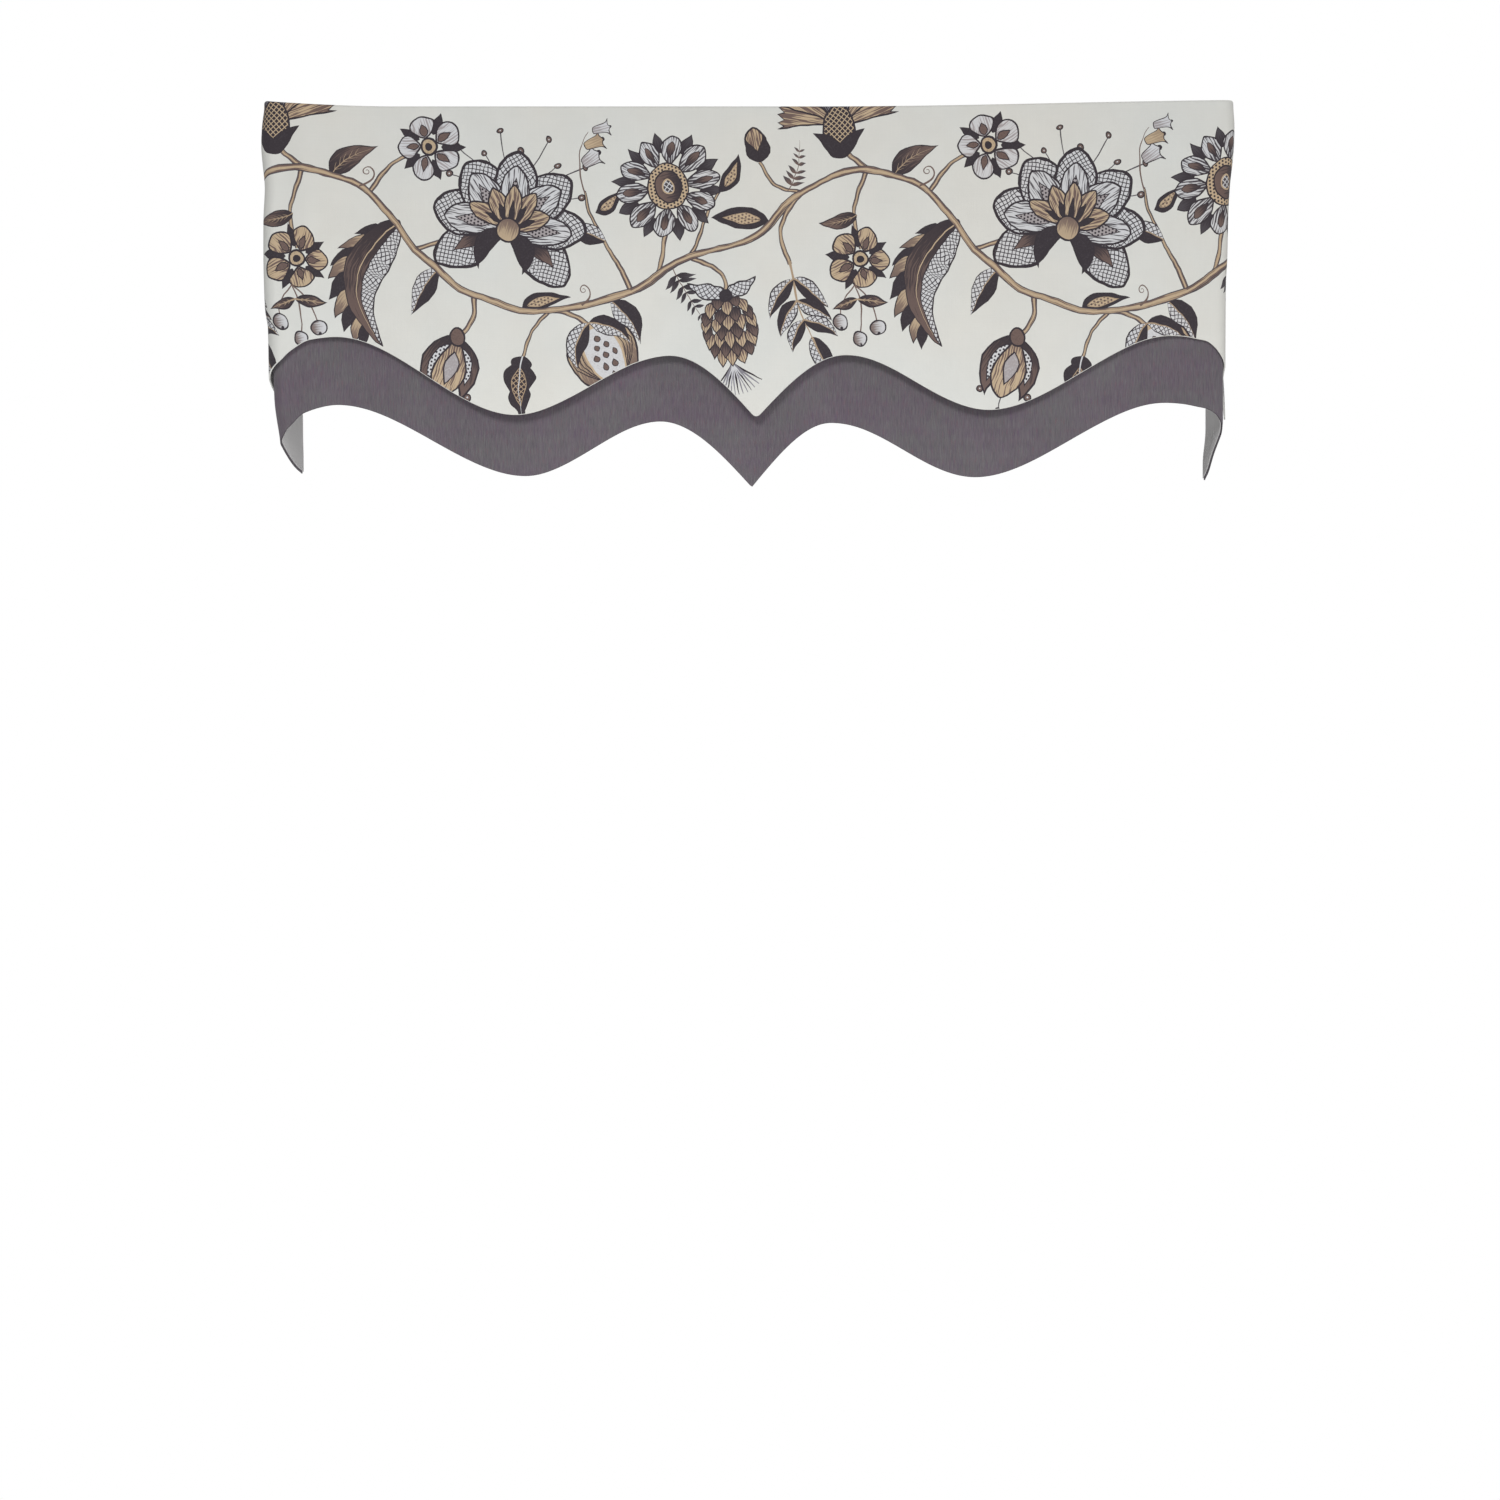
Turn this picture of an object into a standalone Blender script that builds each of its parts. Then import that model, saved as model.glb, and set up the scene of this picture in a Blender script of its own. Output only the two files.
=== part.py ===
"""A window valance in two layers: a face panel over a longer plain panel, both cut with a scalloped hem, and a lining.

Metres, +Z up. The origin is on the top fold, at the middle of the width. The face looks along -Y, and a return at each
end runs back along +Y to the wall. Each cloth is drawn as its outer side, and a Solidify modifier gives it its thickness.

A point of a cloth is named by its place, the distance along the flat width from the middle, and its drop, the distance
below the top fold.
"""

import math

import bmesh
import bpy

# Cut sizes, before the cloth is hung
FLAT_WIDTH = 1.270  # 50 in, from the end of one return to the end of the other
PLAIN_DROP = 0.4318  # 17 in, from the top fold to the plain panel's point
FACE_DROP = 0.3556  # 14 in, from the top fold to the face panel's point
TOP_HEM = 0.0762  # 3 in of the face cloth, turned over the top to the back

# Cloths
FACE_CLOTH = 0.0018
PLAIN_CLOTH = 0.0016
LINING_CLOTH = 0.0010
CLEARANCE = 0.0003  # between two cloths that lie against each other

# How it hangs
RETURN_DEPTH = 0.092  # from the face back to the wall
CORNER_RADIUS = 0.016  # where the face turns into a return
END_REGION = 0.40  # the place from which the two ends hang in a shape of their own
LOWER_HANG = 0.0045  # extra room between the two panels at the face panel's hem
HANG_START = 0.086  # the drops between which that room opens
HANG_FULL = 0.300
HANG_SWAY = (0.30, 0.42)  # the share by which that room varies along the width, and the length of one such wave

# The hems from left to right: a line through points of (place, drop). Both lines end at the panel's point in the middle.
HEMS = {
    "plain": {
        "left": (
            (-0.640, 0.404),
            (-0.616, 0.401),
            (-0.579, 0.391),
            (-0.545, 0.376),
            (-0.530, 0.363),
            (-0.511, 0.348),
            (-0.470, 0.338),
            (-0.255, 0.419),
            (-0.102, 0.356),
            (0.002, PLAIN_DROP),
        ),
        "right": (
            (0.002, PLAIN_DROP),
            (0.093, 0.358),
            (0.257, 0.420),
            (0.474, 0.336),
            (0.522, 0.343),
            (0.542, 0.3555),
            (0.572, 0.3835),
            (0.609, 0.404),
            (0.640, 0.413),
        ),
    },
    "face": {
        "left": (
            (-0.640, 0.334),
            (-0.571, 0.317),
            (-0.537, 0.292),
            (-0.523, 0.2785),
            (-0.500, 0.266),
            (-0.470, 0.262),
            (-0.266, 0.351),
            (-0.091, 0.283),
            (0.007, FACE_DROP),
        ),
        "right": (
            (0.007, FACE_DROP),
            (0.108, 0.283),
            (0.272, 0.345),
            (0.481, 0.261),
            (0.521, 0.2665),
            (0.545, 0.286),
            (0.586, 0.316),
            (0.640, 0.3425),
        ),
    },
}
POINT_ROUNDING = 0.004  # half the width over which the face panel's point is rounded off
POINT_REACH = (0.012, 0.030)  # how far from its point the rounding starts and ends to fade
END_SLOPE = 1.5  # how much steeper than its last stretch a line is at its end

# How far the two ends stand out past their even place, at drops below the top fold
OUTWARD_COLUMNS = ("drop", "left", "right")
OUTWARD = (
    (0.000, 0.0050, 0.0022),
    (0.008, 0.0052, 0.0024),
    (0.030, 0.0077, 0.0037),
    (0.050, 0.0085, 0.0032),
    (0.070, 0.0069, 0.0016),
    (0.098, 0.0040, -0.0014),
    (0.130, 0.0052, -0.0028),
    (0.170, 0.0048, -0.0033),
    (0.205, 0.0036, -0.0048),
    (0.230, 0.0020, -0.0048),
    (0.250, -0.0012, -0.0048),
    (0.330, -0.0031, -0.0047),
    (0.380, -0.0092, -0.0042),
    (0.440, -0.0130, -0.0066),
)
# The top fold rises towards each end as far as the corner, along a soft step between two places, and the cloth below it
# evens out
RISE = {"left": (0.40, 0.80), "right": (0.08, 0.62)}
TOP_RISE = {"left": 0.0204, "right": 0.0077}
RISE_FADE = (0.02, 0.24)  # the drops between which the rise fades out
# How far the free edge of each return stands out at the hem: the face panel's, and the inner cloths'
SWING = {"left": {"face": -0.0045, "inner": -0.0101}, "right": {"face": 0.0125, "inner": -0.0056}}
SWING_BEND = 1.2  # 1 for a straight return, and more for one that bends towards its free edge

# Soft vertical waves of the hanging cloth
WAVE_COLUMNS = ("length", "phase", "height")
WAVES = ((0.310, 0.6, 0.0020), (0.173, 2.1, 0.0014), (0.094, 4.0, 0.0006))
WAVE_START = 0.012  # the drop at which the waves begin
WAVE_FULL = 0.300  # the drop at which they have their full height

# Worked out from the sizes above
FOLD_RADIUS = (2 * FACE_CLOTH + PLAIN_CLOTH + LINING_CLOTH + 3 * CLEARANCE) / 2
CORNER_ARC = CORNER_RADIUS * math.pi / 2
RETURN_RUN = RETURN_DEPTH - CORNER_RADIUS  # the flat stretch of a return, behind the corner
HALF_FLAT = FLAT_WIDTH / 2
HALF_FACE = HALF_FLAT - CORNER_ARC - RETURN_RUN  # from the middle to where the corner starts
CORNER_END = HALF_FACE + CORNER_ARC
PLAIN_INSET = FACE_CLOTH + CLEARANCE
LINING_INSET = PLAIN_INSET + PLAIN_CLOTH + CLEARANCE
INNER_TOP = FOLD_RADIUS + 0.0001  # the drop of the inner cloths' top edges, inside the fold

# How finely each cloth is divided
FACE_STEPS = 68
CORNER_STEPS = 6
RETURN_STEPS = 4
NEAREST = 0.004  # no even column stands closer than this to a column set at a hem's point
ROWS = (0.020, 0.045, TOP_HEM, 0.098, 0.130, 0.165)  # drops of the upper rows, the same on every cloth
LAST_ROW = 0.5  # one more row lies this share of the way from them to the hem
FOLD_STEPS = 4

MATERIALS = {
    "face_cloth": ((0.72, 0.71, 0.66), 0.85),
    "plain_cloth": ((0.13, 0.11, 0.13), 0.80),
    "lining_cloth": ((0.62, 0.62, 0.60), 0.90),
}


def smooth(value, start, end):
    """0 up to start, 1 from end on, and a soft step between."""
    share = min(1.0, max(0.0, (value - start) / (end - start)))
    return share * share * (3 - 2 * share)


def stretch_slope(points, i):
    """The slope of the straight stretch that follows point i."""
    return (points[i + 1][1] - points[i][1]) / (points[i + 1][0] - points[i][0])


def point_slope(points, i):
    """The slope of the smooth line at point i: flat where the line turns."""
    if i == 0:
        return END_SLOPE * stretch_slope(points, 0)
    if i == len(points) - 1:
        return END_SLOPE * stretch_slope(points, i - 1)
    before = stretch_slope(points, i - 1)
    after = stretch_slope(points, i)
    if before * after <= 0:
        return 0.0
    return 2 * before * after / (before + after)


def line(points, x):
    """A smooth line through the points, which never overshoots them."""
    i = max([0] + [j for j in range(len(points) - 1) if points[j][0] <= x])
    step = points[i + 1][0] - points[i][0]
    start, end = points[i][1], points[i + 1][1]
    leave = point_slope(points, i) * step
    arrive = point_slope(points, i + 1) * step
    share = (x - points[i][0]) / step
    square = 3 * (end - start) - 2 * leave - arrive
    cube = 2 * (start - end) + leave + arrive
    return start + share * (leave + share * (square + share * cube))


def hem_drop(panel, place):
    """The drop of one panel's hem. panel is "plain" or "face"."""
    halves = HEMS[panel]
    return line(halves["left" if place < halves["right"][0][0] else "right"], place)


def plain_hem(place):
    return hem_drop("plain", place)


def face_hem(place):
    """The face panel's hem, with its point rounded off by averaging over a short width."""
    point = HEMS["face"]["right"][0][0]
    reach = POINT_ROUNDING * (1 - smooth(abs(place - point), *POINT_REACH))
    shares = (-1, -0.5, 0, 0.5, 1)
    return sum(hem_drop("face", place + reach * share) for share in shares) / len(shares)


def waves(place, drop):
    """How far the cloth stands out from its flat lie."""
    rows = [dict(zip(WAVE_COLUMNS, row)) for row in WAVES]
    sway = sum(row["height"] * math.sin(math.tau * place / row["length"] + row["phase"]) for row in rows)
    return sway * smooth(drop, WAVE_START, WAVE_FULL)


def hang_gap(place, drop):
    """The extra room between the face panel and the cloths behind it."""
    share, length = HANG_SWAY
    return LOWER_HANG * smooth(drop, HANG_START, HANG_FULL) * (1 + share * math.sin(math.tau * place / length + 1))


def outward(side, place, drop):
    """How far the cloth stands out past its even place, near one end."""
    rows = [dict(zip(OUTWARD_COLUMNS, row)) for row in OUTWARD]
    end = line([(row["drop"], row[side]) for row in rows], drop)
    return end * smooth(abs(place), END_REGION, HALF_FACE)


def hang(place, drop, inset, layer):
    """The hung position of a point of a cloth, inset from the face. layer is "face" or "inner"."""
    side = "left" if place < 0 else "right"
    run = abs(place) - HALF_FACE
    turn = min(1.0, max(0.0, run / CORNER_ARC)) * math.pi / 2
    radius = CORNER_RADIUS - (inset - waves(place, drop))
    behind = max(0.0, run - CORNER_ARC)
    free = (behind / RETURN_RUN) ** SWING_BEND * smooth(drop, TOP_HEM, FACE_DROP)
    shift = outward(side, place, drop) * (1 - free) + SWING[side][layer] * free
    across = HALF_FACE + min(0.0, run) + radius * math.sin(turn) + shift
    back = CORNER_RADIUS - radius * math.cos(turn) + behind
    rise = TOP_RISE[side] * smooth(min(abs(place), CORNER_END), *RISE[side]) * (1 - smooth(drop, *RISE_FADE))
    return (math.copysign(across, place), back - FOLD_RADIUS, rise - drop)


def places(points):
    """The columns along the flat width: even on the face, closer round the corners, with the given points among them."""
    face = [HALF_FACE * (2 * i / FACE_STEPS - 1) for i in range(FACE_STEPS + 1)]
    face = [x for x in face if min(abs(x - point) for point in points) > NEAREST] + list(points)
    corner = [HALF_FACE + CORNER_ARC * i / CORNER_STEPS for i in range(1, CORNER_STEPS + 1)]
    ends = corner + [corner[-1] + RETURN_RUN * i / RETURN_STEPS for i in range(1, RETURN_STEPS + 1)]
    return sorted(face + ends + [-x for x in ends])


def hanging_rows(hem, top):
    """The drops of one column's rows, from its hem up to the top."""
    return [hem, ROWS[-1] + (hem - ROWS[-1]) * LAST_ROW, *reversed(ROWS), top]


def face_column(place):
    """The face cloth from its hem up the front, over the fold, and down the back to the end of the turned hem."""
    front = [(0.0, drop) for drop in hanging_rows(face_hem(place), FOLD_RADIUS)]
    turns = [math.pi * i / FOLD_STEPS for i in range(1, FOLD_STEPS + 1)]
    fold = [(FOLD_RADIUS * (1 - math.cos(t)), FOLD_RADIUS * (1 - math.sin(t))) for t in turns]
    back = [(2 * FOLD_RADIUS, drop) for drop in ROWS if drop < TOP_HEM] + [(2 * FOLD_RADIUS, TOP_HEM)]
    return [hang(place, drop, inset, "face") for inset, drop in front + fold + back]


def inner_column(place, inset):
    """A cloth behind the face panel, from the plain panel's hem up to its top edge inside the fold."""
    drops = hanging_rows(plain_hem(place), INNER_TOP)
    return [hang(place, drop, inset + hang_gap(place, drop), "inner") for drop in drops]


def sheet(name, columns, thickness):
    """One cloth as a grid of faces looking outwards, thickened inwards."""
    shape = bmesh.new()
    grid = [[shape.verts.new(point) for point in column] for column in columns]
    for left, right in zip(grid, grid[1:]):
        for row in range(len(left) - 1):
            shape.faces.new((left[row], right[row], right[row + 1], left[row + 1]))
    mesh = bpy.data.meshes.new(name)
    shape.to_mesh(mesh)
    shape.free()
    mesh.shade_smooth()
    cloth = bpy.data.objects.new(name, mesh)
    bpy.context.scene.collection.objects.link(cloth)
    solid = cloth.modifiers.new("thickness", "SOLIDIFY")
    solid.thickness = thickness
    solid.offset = -1.0
    solid.use_even_offset = True
    return cloth


def finish(cloth, slot):
    """A plain material in the cloth's own colour."""
    colour, roughness = MATERIALS[slot]
    material = bpy.data.materials.new(slot)
    material.use_nodes = True
    shader = material.node_tree.nodes["Principled BSDF"]
    shader.inputs["Base Color"].default_value = (*colour, 1.0)
    shader.inputs["Roughness"].default_value = roughness
    shader.inputs["Metallic"].default_value = 0.0
    cloth.data.materials.append(material)


def main():
    for old in list(bpy.data.objects):
        bpy.data.objects.remove(old)
    plain_point = HEMS["plain"]["right"][0][0]
    face_point = HEMS["face"]["right"][0][0]
    face_places = places((face_point - 2 * POINT_ROUNDING, face_point, face_point + 2 * POINT_ROUNDING))
    inner_places = places((plain_point,))
    face = sheet("face_panel", [face_column(x) for x in face_places], FACE_CLOTH)
    plain = sheet("plain_panel", [inner_column(x, PLAIN_INSET) for x in inner_places], PLAIN_CLOTH)
    lining = sheet("lining", [inner_column(x, LINING_INSET) for x in inner_places], LINING_CLOTH)
    finish(face, "face_cloth")
    finish(plain, "plain_cloth")
    finish(lining, "lining_cloth")


main()
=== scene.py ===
"""A window valance in two layers, dressed: a printed face panel over a longer slub panel, and a lining behind them."""

import math

import bmesh
import bpy
import numpy as np
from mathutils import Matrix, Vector
from mathutils.geometry import delaunay_2d_cdt


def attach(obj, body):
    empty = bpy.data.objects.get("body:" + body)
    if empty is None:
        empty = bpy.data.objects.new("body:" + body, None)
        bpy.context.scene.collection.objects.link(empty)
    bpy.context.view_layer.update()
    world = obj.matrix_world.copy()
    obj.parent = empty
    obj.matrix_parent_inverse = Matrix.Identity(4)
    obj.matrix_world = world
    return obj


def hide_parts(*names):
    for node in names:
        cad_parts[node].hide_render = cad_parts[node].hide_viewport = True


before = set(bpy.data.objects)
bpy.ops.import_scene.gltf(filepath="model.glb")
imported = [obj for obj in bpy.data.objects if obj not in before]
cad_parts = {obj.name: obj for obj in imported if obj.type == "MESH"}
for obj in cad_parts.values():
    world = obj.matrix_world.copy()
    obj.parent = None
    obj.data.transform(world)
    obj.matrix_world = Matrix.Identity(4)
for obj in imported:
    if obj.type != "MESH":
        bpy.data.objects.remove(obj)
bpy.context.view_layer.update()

bl_info = {
    "name": "Window valance",
    "version": (1, 0, 0),
    "blender": (4, 5, 0),
    "location": "View3D > Sidebar > Valance",
    "description": "Hangs a two-layer window valance with a printed face panel, a slub panel and a lining",
    "category": "Object",
}

# Cut sizes in metres, before the cloth is hung. A point of a cloth is named by its place, the distance along the flat
# width from the middle, and its drop, the distance below the top fold.
FLAT_WIDTH = 1.270
PLAIN_DROP = 0.4318
FACE_DROP = 0.3556
TOP_HEM = 0.0762  # the part of the face cloth that is turned over the top to the back
FACE_CLOTH = 0.0018
PLAIN_CLOTH = 0.0016
LINING_CLOTH = 0.0010
CLEARANCE = 0.0003
LINING_SHORT = 0.0022  # how much the lining stops short of the slub panel's hem

RETURN_DEPTH = 0.092
CORNER_RADIUS = 0.016
END_REGION = 0.40  # the place from which the ends start to stand out

# The extra room between the face panel and the cloths behind it
LOWER_HANG = 0.0078  # in the middle
END_HANG = 0.0045  # near the ends
HANG_FADE = (0.26, 0.38)  # the places between which one turns into the other
HANG_DROPS = (0.100, 0.360)  # the drops between which it opens
HANG_SWAY = (0.10, 0.42)  # how much it sways, as a share, and over what length
# How much of it is taken away at the left and the right corner, and the places and drops between which that changes
CORNER_HOLD = {"places": (0.44, 0.52), "drops": (0.352, 0.392), "left": 0.15, "right": 0.80}

# The hems from left to right: lines through points of (place, drop), which meet at the panel's point
HEMS = {
    "plain": {
        "left": (
            (-0.640, 0.404), (-0.616, 0.401), (-0.579, 0.391), (-0.545, 0.376), (-0.530, 0.363),
            (-0.511, 0.348), (-0.470, 0.338), (-0.255, 0.419), (-0.102, 0.356), (0.002, PLAIN_DROP),
        ),
        "right": (
            (0.002, PLAIN_DROP), (0.093, 0.358), (0.257, 0.420), (0.474, 0.336), (0.522, 0.343),
            (0.542, 0.3555), (0.572, 0.3835), (0.609, 0.404), (0.640, 0.413),
        ),
    },
    "face": {
        "left": (
            (-0.640, 0.334), (-0.571, 0.317), (-0.537, 0.292), (-0.523, 0.2785), (-0.500, 0.266),
            (-0.470, 0.262), (-0.266, 0.351), (-0.091, 0.283), (0.007, FACE_DROP),
        ),
        "right": (
            (0.007, FACE_DROP), (0.108, 0.283), (0.272, 0.345), (0.481, 0.261), (0.521, 0.2665),
            (0.545, 0.286), (0.586, 0.316), (0.640, 0.3425),
        ),
    },
}
POINT_ROUNDING = 0.004  # how far to each side the face hem is averaged at its point
POINT_REACH = (0.012, 0.030)  # the distances from the point between which that fades
END_SLOPE = 1.5  # how much steeper a line through points starts and ends than between its first or last two

# How far the left and right ends stand out past their even place, at drops below the top fold
OUTWARD = (
    (0.000, 0.0050, 0.0022),
    (0.008, 0.0052, 0.0024),
    (0.030, 0.0077, 0.0037),
    (0.050, 0.0085, 0.0032),
    (0.070, 0.0069, 0.0016),
    (0.098, 0.0040, -0.0014),
    (0.130, 0.0052, -0.0028),
    (0.170, 0.0048, -0.0033),
    (0.205, 0.0036, -0.0048),
    (0.230, 0.0020, -0.0048),
    (0.250, -0.0012, -0.0048),
    (0.330, -0.0031, -0.0047),
    (0.380, -0.0092, -0.0042),
    (0.440, -0.0130, -0.0066),
)
# The top fold rises towards each end as far as the corner, along a soft step between two places, and the cloth below it
# evens out between two drops
RISE = {"left": (0.40, 0.80), "right": (0.08, 0.62)}
TOP_RISE = {"left": 0.0204, "right": 0.0077}
RISE_FADE = (0.02, 0.24)
CORNER_RISE = 0.24  # how far it rises on round a corner, as a share of how far it goes back there
# How far the free edge of each return stands out at the hem: the face panel's, and the inner cloths'
SWING = {"left": {"face": -0.0045, "inner": -0.0101}, "right": {"face": 0.0125, "inner": -0.0056}}
SWING_BEND = 1.2  # 1 swings a return evenly, and more bends it towards its free edge

# Soft vertical waves of the hanging cloth: length, phase and height, and the drops between which they grow
WAVES = ((0.310, 0.6, 0.0020), (0.173, 2.1, 0.0014), (0.094, 4.0, 0.0006))
WAVE_DROPS = (0.012, 0.300)
# Narrower folds: place, half width and height, and the drops between which they grow
FOLDS = (
    (-0.521, 0.010, -0.0008),
    (-0.500, 0.009, 0.0006),
    (-0.118, 0.016, -0.0007),
    (0.096, 0.014, -0.0008),
    (0.126, 0.016, 0.0007),
    (0.322, 0.018, -0.0007),
    (0.498, 0.007, 0.0006),
    (0.512, 0.006, -0.0007),
    (0.526, 0.007, 0.0006),
)
FOLD_DROPS = (0.006, 0.060)

FOLD_RADIUS = (2 * FACE_CLOTH + PLAIN_CLOTH + LINING_CLOTH + 3 * CLEARANCE) / 2
FOLD_ARC = math.pi * FOLD_RADIUS
CORNER_ARC = CORNER_RADIUS * math.pi / 2
RETURN_RUN = RETURN_DEPTH - CORNER_RADIUS
HALF_FLAT = FLAT_WIDTH / 2
HALF_FACE = HALF_FLAT - CORNER_ARC - RETURN_RUN
CORNER_END = HALF_FACE + CORNER_ARC
PLAIN_INSET = FACE_CLOTH + CLEARANCE
LINING_INSET = PLAIN_INSET + PLAIN_CLOTH + CLEARANCE
INNER_TOP = FOLD_RADIUS + 0.0001  # the drop at which the inner cloths start
FACE_TOP = FOLD_ARC + TOP_HEM - FOLD_RADIUS  # the height of the turned hem's edge on the flat face cloth

# How finely the cloths are divided
HEM_STEP = 0.0025
SIDE_STEP = 0.005
FRONT_GRID = 0.0055
WRONG_SIDE_GRID = 0.010
FOLD_STEPS = 10
CORNER_STEPS = 8
FOLD_ROWS = FOLD_ARC * np.arange(FOLD_STEPS + 1) / FOLD_STEPS
CORNER_PLACES = HALF_FACE + CORNER_ARC * np.arange(CORNER_STEPS + 1) / CORNER_STEPS
# The lines that divide a cloth run past its edges: this far past its sides, or to a height past its hem and its top
PAST_SIDES, PAST_HEM, PAST_TOP = 0.01, -0.5j, 0.12j
TANGENT_STEP = 2e-5  # how far to each side the points lie that give a direction on a cloth
GRID_MARGIN = 0.3  # how near the grid comes to the hem and the top, as a share of its spacing
MERGED = 1e-7  # points nearer than this are one
BATCH = 8192  # how many points are looked at together
EDGE_STEPS = 4
EDGE_ROLL = 0.0005  # how far in from its edge a cloth starts to roll over

# The row of stitches: its distance from the turned hem's edge and from the cloth's ends, and the shape of a stitch
STITCH_ROW = 0.005
STITCH_MARGIN = 0.008
STITCH_BLUNT = 0.6  # 1 is an ellipse, and less has blunter ends
STITCH_FLAT = 0.7  # how thick a stitch is, as a share of how wide it is

# The stage: the places of the lights, how many degrees the suns spread over, and the camera's place
SUNS = {"key": ((-0.8, -3.1, 2.3), 20.0), "side": ((3.0, -2.0, 1.7), 60.0), "back": ((0.6, 3.0, 0.5), 30.0)}
FILL = {"place": (0.0, -0.6, -1.4), "size": (2.2, 0.3)}
LIT_PLACE = (0.0, 0.0, -0.3)
CAMERA_PLACE = (0.0, -1.995 - FOLD_RADIUS, -0.7313)
FLOOR = {"size": 4.0, "middle": (0.0, -1.4)}


def smooth(value, start, end):
    """0 up to start, 1 from end on, and a soft step between."""
    share = np.clip((value - start) / (end - start), 0, 1)
    return share * share * (3 - 2 * share)


def smooth_line(points, x):
    """A smooth line through the points, which never overshoots them."""
    at, height = np.asarray(points, float).T
    run = np.diff(at)
    slope = np.diff(height) / run
    before, after = slope[:-1], slope[1:]
    together = np.where(before + after == 0, 1, before + after)
    inner = np.where(before * after > 0, 2 * before * after / together, 0)
    leaning = np.concatenate([[END_SLOPE * slope[0]], inner, [END_SLOPE * slope[-1]]])
    i = np.clip(np.searchsorted(at, x, side="right") - 1, 0, len(at) - 2)
    leave, arrive = leaning[i] * run[i], leaning[i + 1] * run[i]
    share = (x - at[i]) / run[i]
    square = 3 * (height[i + 1] - height[i]) - 2 * leave - arrive
    cube = 2 * (height[i] - height[i + 1]) + leave + arrive
    return height[i] + share * (leave + share * (square + share * cube))


def hem_drop(panel, place):
    halves = HEMS[panel]
    left, right = (smooth_line(halves[side], place) for side in ("left", "right"))
    return np.where(place < halves["right"][0][0], left, right)


def plain_hem(place):
    return hem_drop("plain", place)


def lining_hem(place):
    return hem_drop("plain", place) - LINING_SHORT


def face_hem(place):
    """The face panel's hem, with its point rounded off by averaging over a short width."""
    point = HEMS["face"]["right"][0][0]
    reach = POINT_ROUNDING * (1 - smooth(abs(place - point), *POINT_REACH))
    shares = (-1, -0.5, 0, 0.5, 1)
    return sum(hem_drop("face", place + reach * share) for share in shares) / len(shares)


def waves(place, drop):
    """How far the cloth stands out from its flat lie."""
    sway = sum(height * np.sin(math.tau * place / length + phase) for length, phase, height in WAVES)
    folds = sum(height * np.exp(-(((place - at) / width) ** 2)) for at, width, height in FOLDS)
    return sway * smooth(drop, *WAVE_DROPS) + folds * smooth(drop, *FOLD_DROPS)


def hang_gap(place, drop):
    """The extra room between the face panel and the cloths behind it: wide in the middle, narrow near the corners."""
    share, length = HANG_SWAY
    room = LOWER_HANG + (END_HANG - LOWER_HANG) * smooth(abs(place), *HANG_FADE)
    sway = 1 + share * np.sin(math.tau * place / length + 1)
    held = np.where(place < 0, CORNER_HOLD["left"], CORNER_HOLD["right"])
    held = held * smooth(abs(place), *CORNER_HOLD["places"]) * (1 - smooth(drop, *CORNER_HOLD["drops"]))
    return room * smooth(drop, *HANG_DROPS) * sway * (1 - held)


def outward(place, drop):
    """How far the cloth stands out past its even place, near its two ends."""
    table = np.array(OUTWARD)
    ends = [smooth_line(table[:, (0, column)], drop) for column in (1, 2)]
    return np.where(place < 0, *ends) * smooth(abs(place), END_REGION, HALF_FACE)


def hang(place, drop, inset, layer):
    """The hung positions of points of a cloth, inset from the face. layer is "face" or "inner"."""
    run = abs(place) - HALF_FACE
    turn = np.clip(run / CORNER_ARC, 0, 1) * math.pi / 2
    radius = CORNER_RADIUS - (inset - waves(place, drop))
    behind = np.maximum(0, run - CORNER_ARC)
    free = (behind / RETURN_RUN) ** SWING_BEND * smooth(drop, TOP_HEM, FACE_DROP)
    swing = np.where(place < 0, SWING["left"][layer], SWING["right"][layer])
    shift = outward(place, drop) * (1 - free) + swing * free
    across = HALF_FACE + np.minimum(0, run) + radius * np.sin(turn) + shift
    back = CORNER_RADIUS - radius * np.cos(turn) + behind
    reach = np.minimum(abs(place), CORNER_END)
    rise = np.where(place < 0, *(TOP_RISE[side] * smooth(reach, *RISE[side]) for side in ("left", "right")))
    rise = (rise + CORNER_RISE * CORNER_RADIUS * (1 - np.cos(turn))) * (1 - smooth(drop, *RISE_FADE))
    return np.stack([np.copysign(across, place), back - FOLD_RADIUS, rise - drop], -1)


# Each cloth as a surface: from a place, a height on the flat cloth and a depth below its outer side to a point


def face_surface(place, height, depth):
    """The face cloth. Its height is 0 where the top fold starts, and on the back it is more than the fold's arc."""
    turn = np.clip(height / FOLD_RADIUS, 0, math.pi)
    inset = FOLD_RADIUS - (FOLD_RADIUS - depth) * np.cos(turn)
    drop = FOLD_RADIUS - (FOLD_RADIUS - depth) * np.sin(turn)
    drop = drop - np.minimum(height, 0) + np.maximum(height - FOLD_ARC, 0)
    return hang(place, drop, inset, "face")


def inner_surface(inset):
    """A cloth behind the face panel, by how far its outer side is inset from the face."""

    def surface(place, height, depth):
        return hang(place, -height, inset + hang_gap(place, -height) + depth, "inner")

    return surface


# The print. Each shape of it is a Patch: an outline on the flat cloth and the hatching that fills it, and a later patch
# covers an earlier one. A point is a complex number in millimetres: the place along the width, plus 1j times the
# height above the start of the fold. Every motif grows from 0 towards +x. A look is a hatching and its two inks.
PLAIN, SHADE, STREAK, NET, DOTS = range(5)
DARK = (PLAIN, "black", "charcoal")
SHADED = (SHADE, "black", "brown")
PALE = (STREAK, "white", "charcoal")
GILDED = (STREAK, "gold", "brown")
NETTED = (NET, "charcoal", "white")
LINE = 1.1  # the drawn line round a shape


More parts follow.
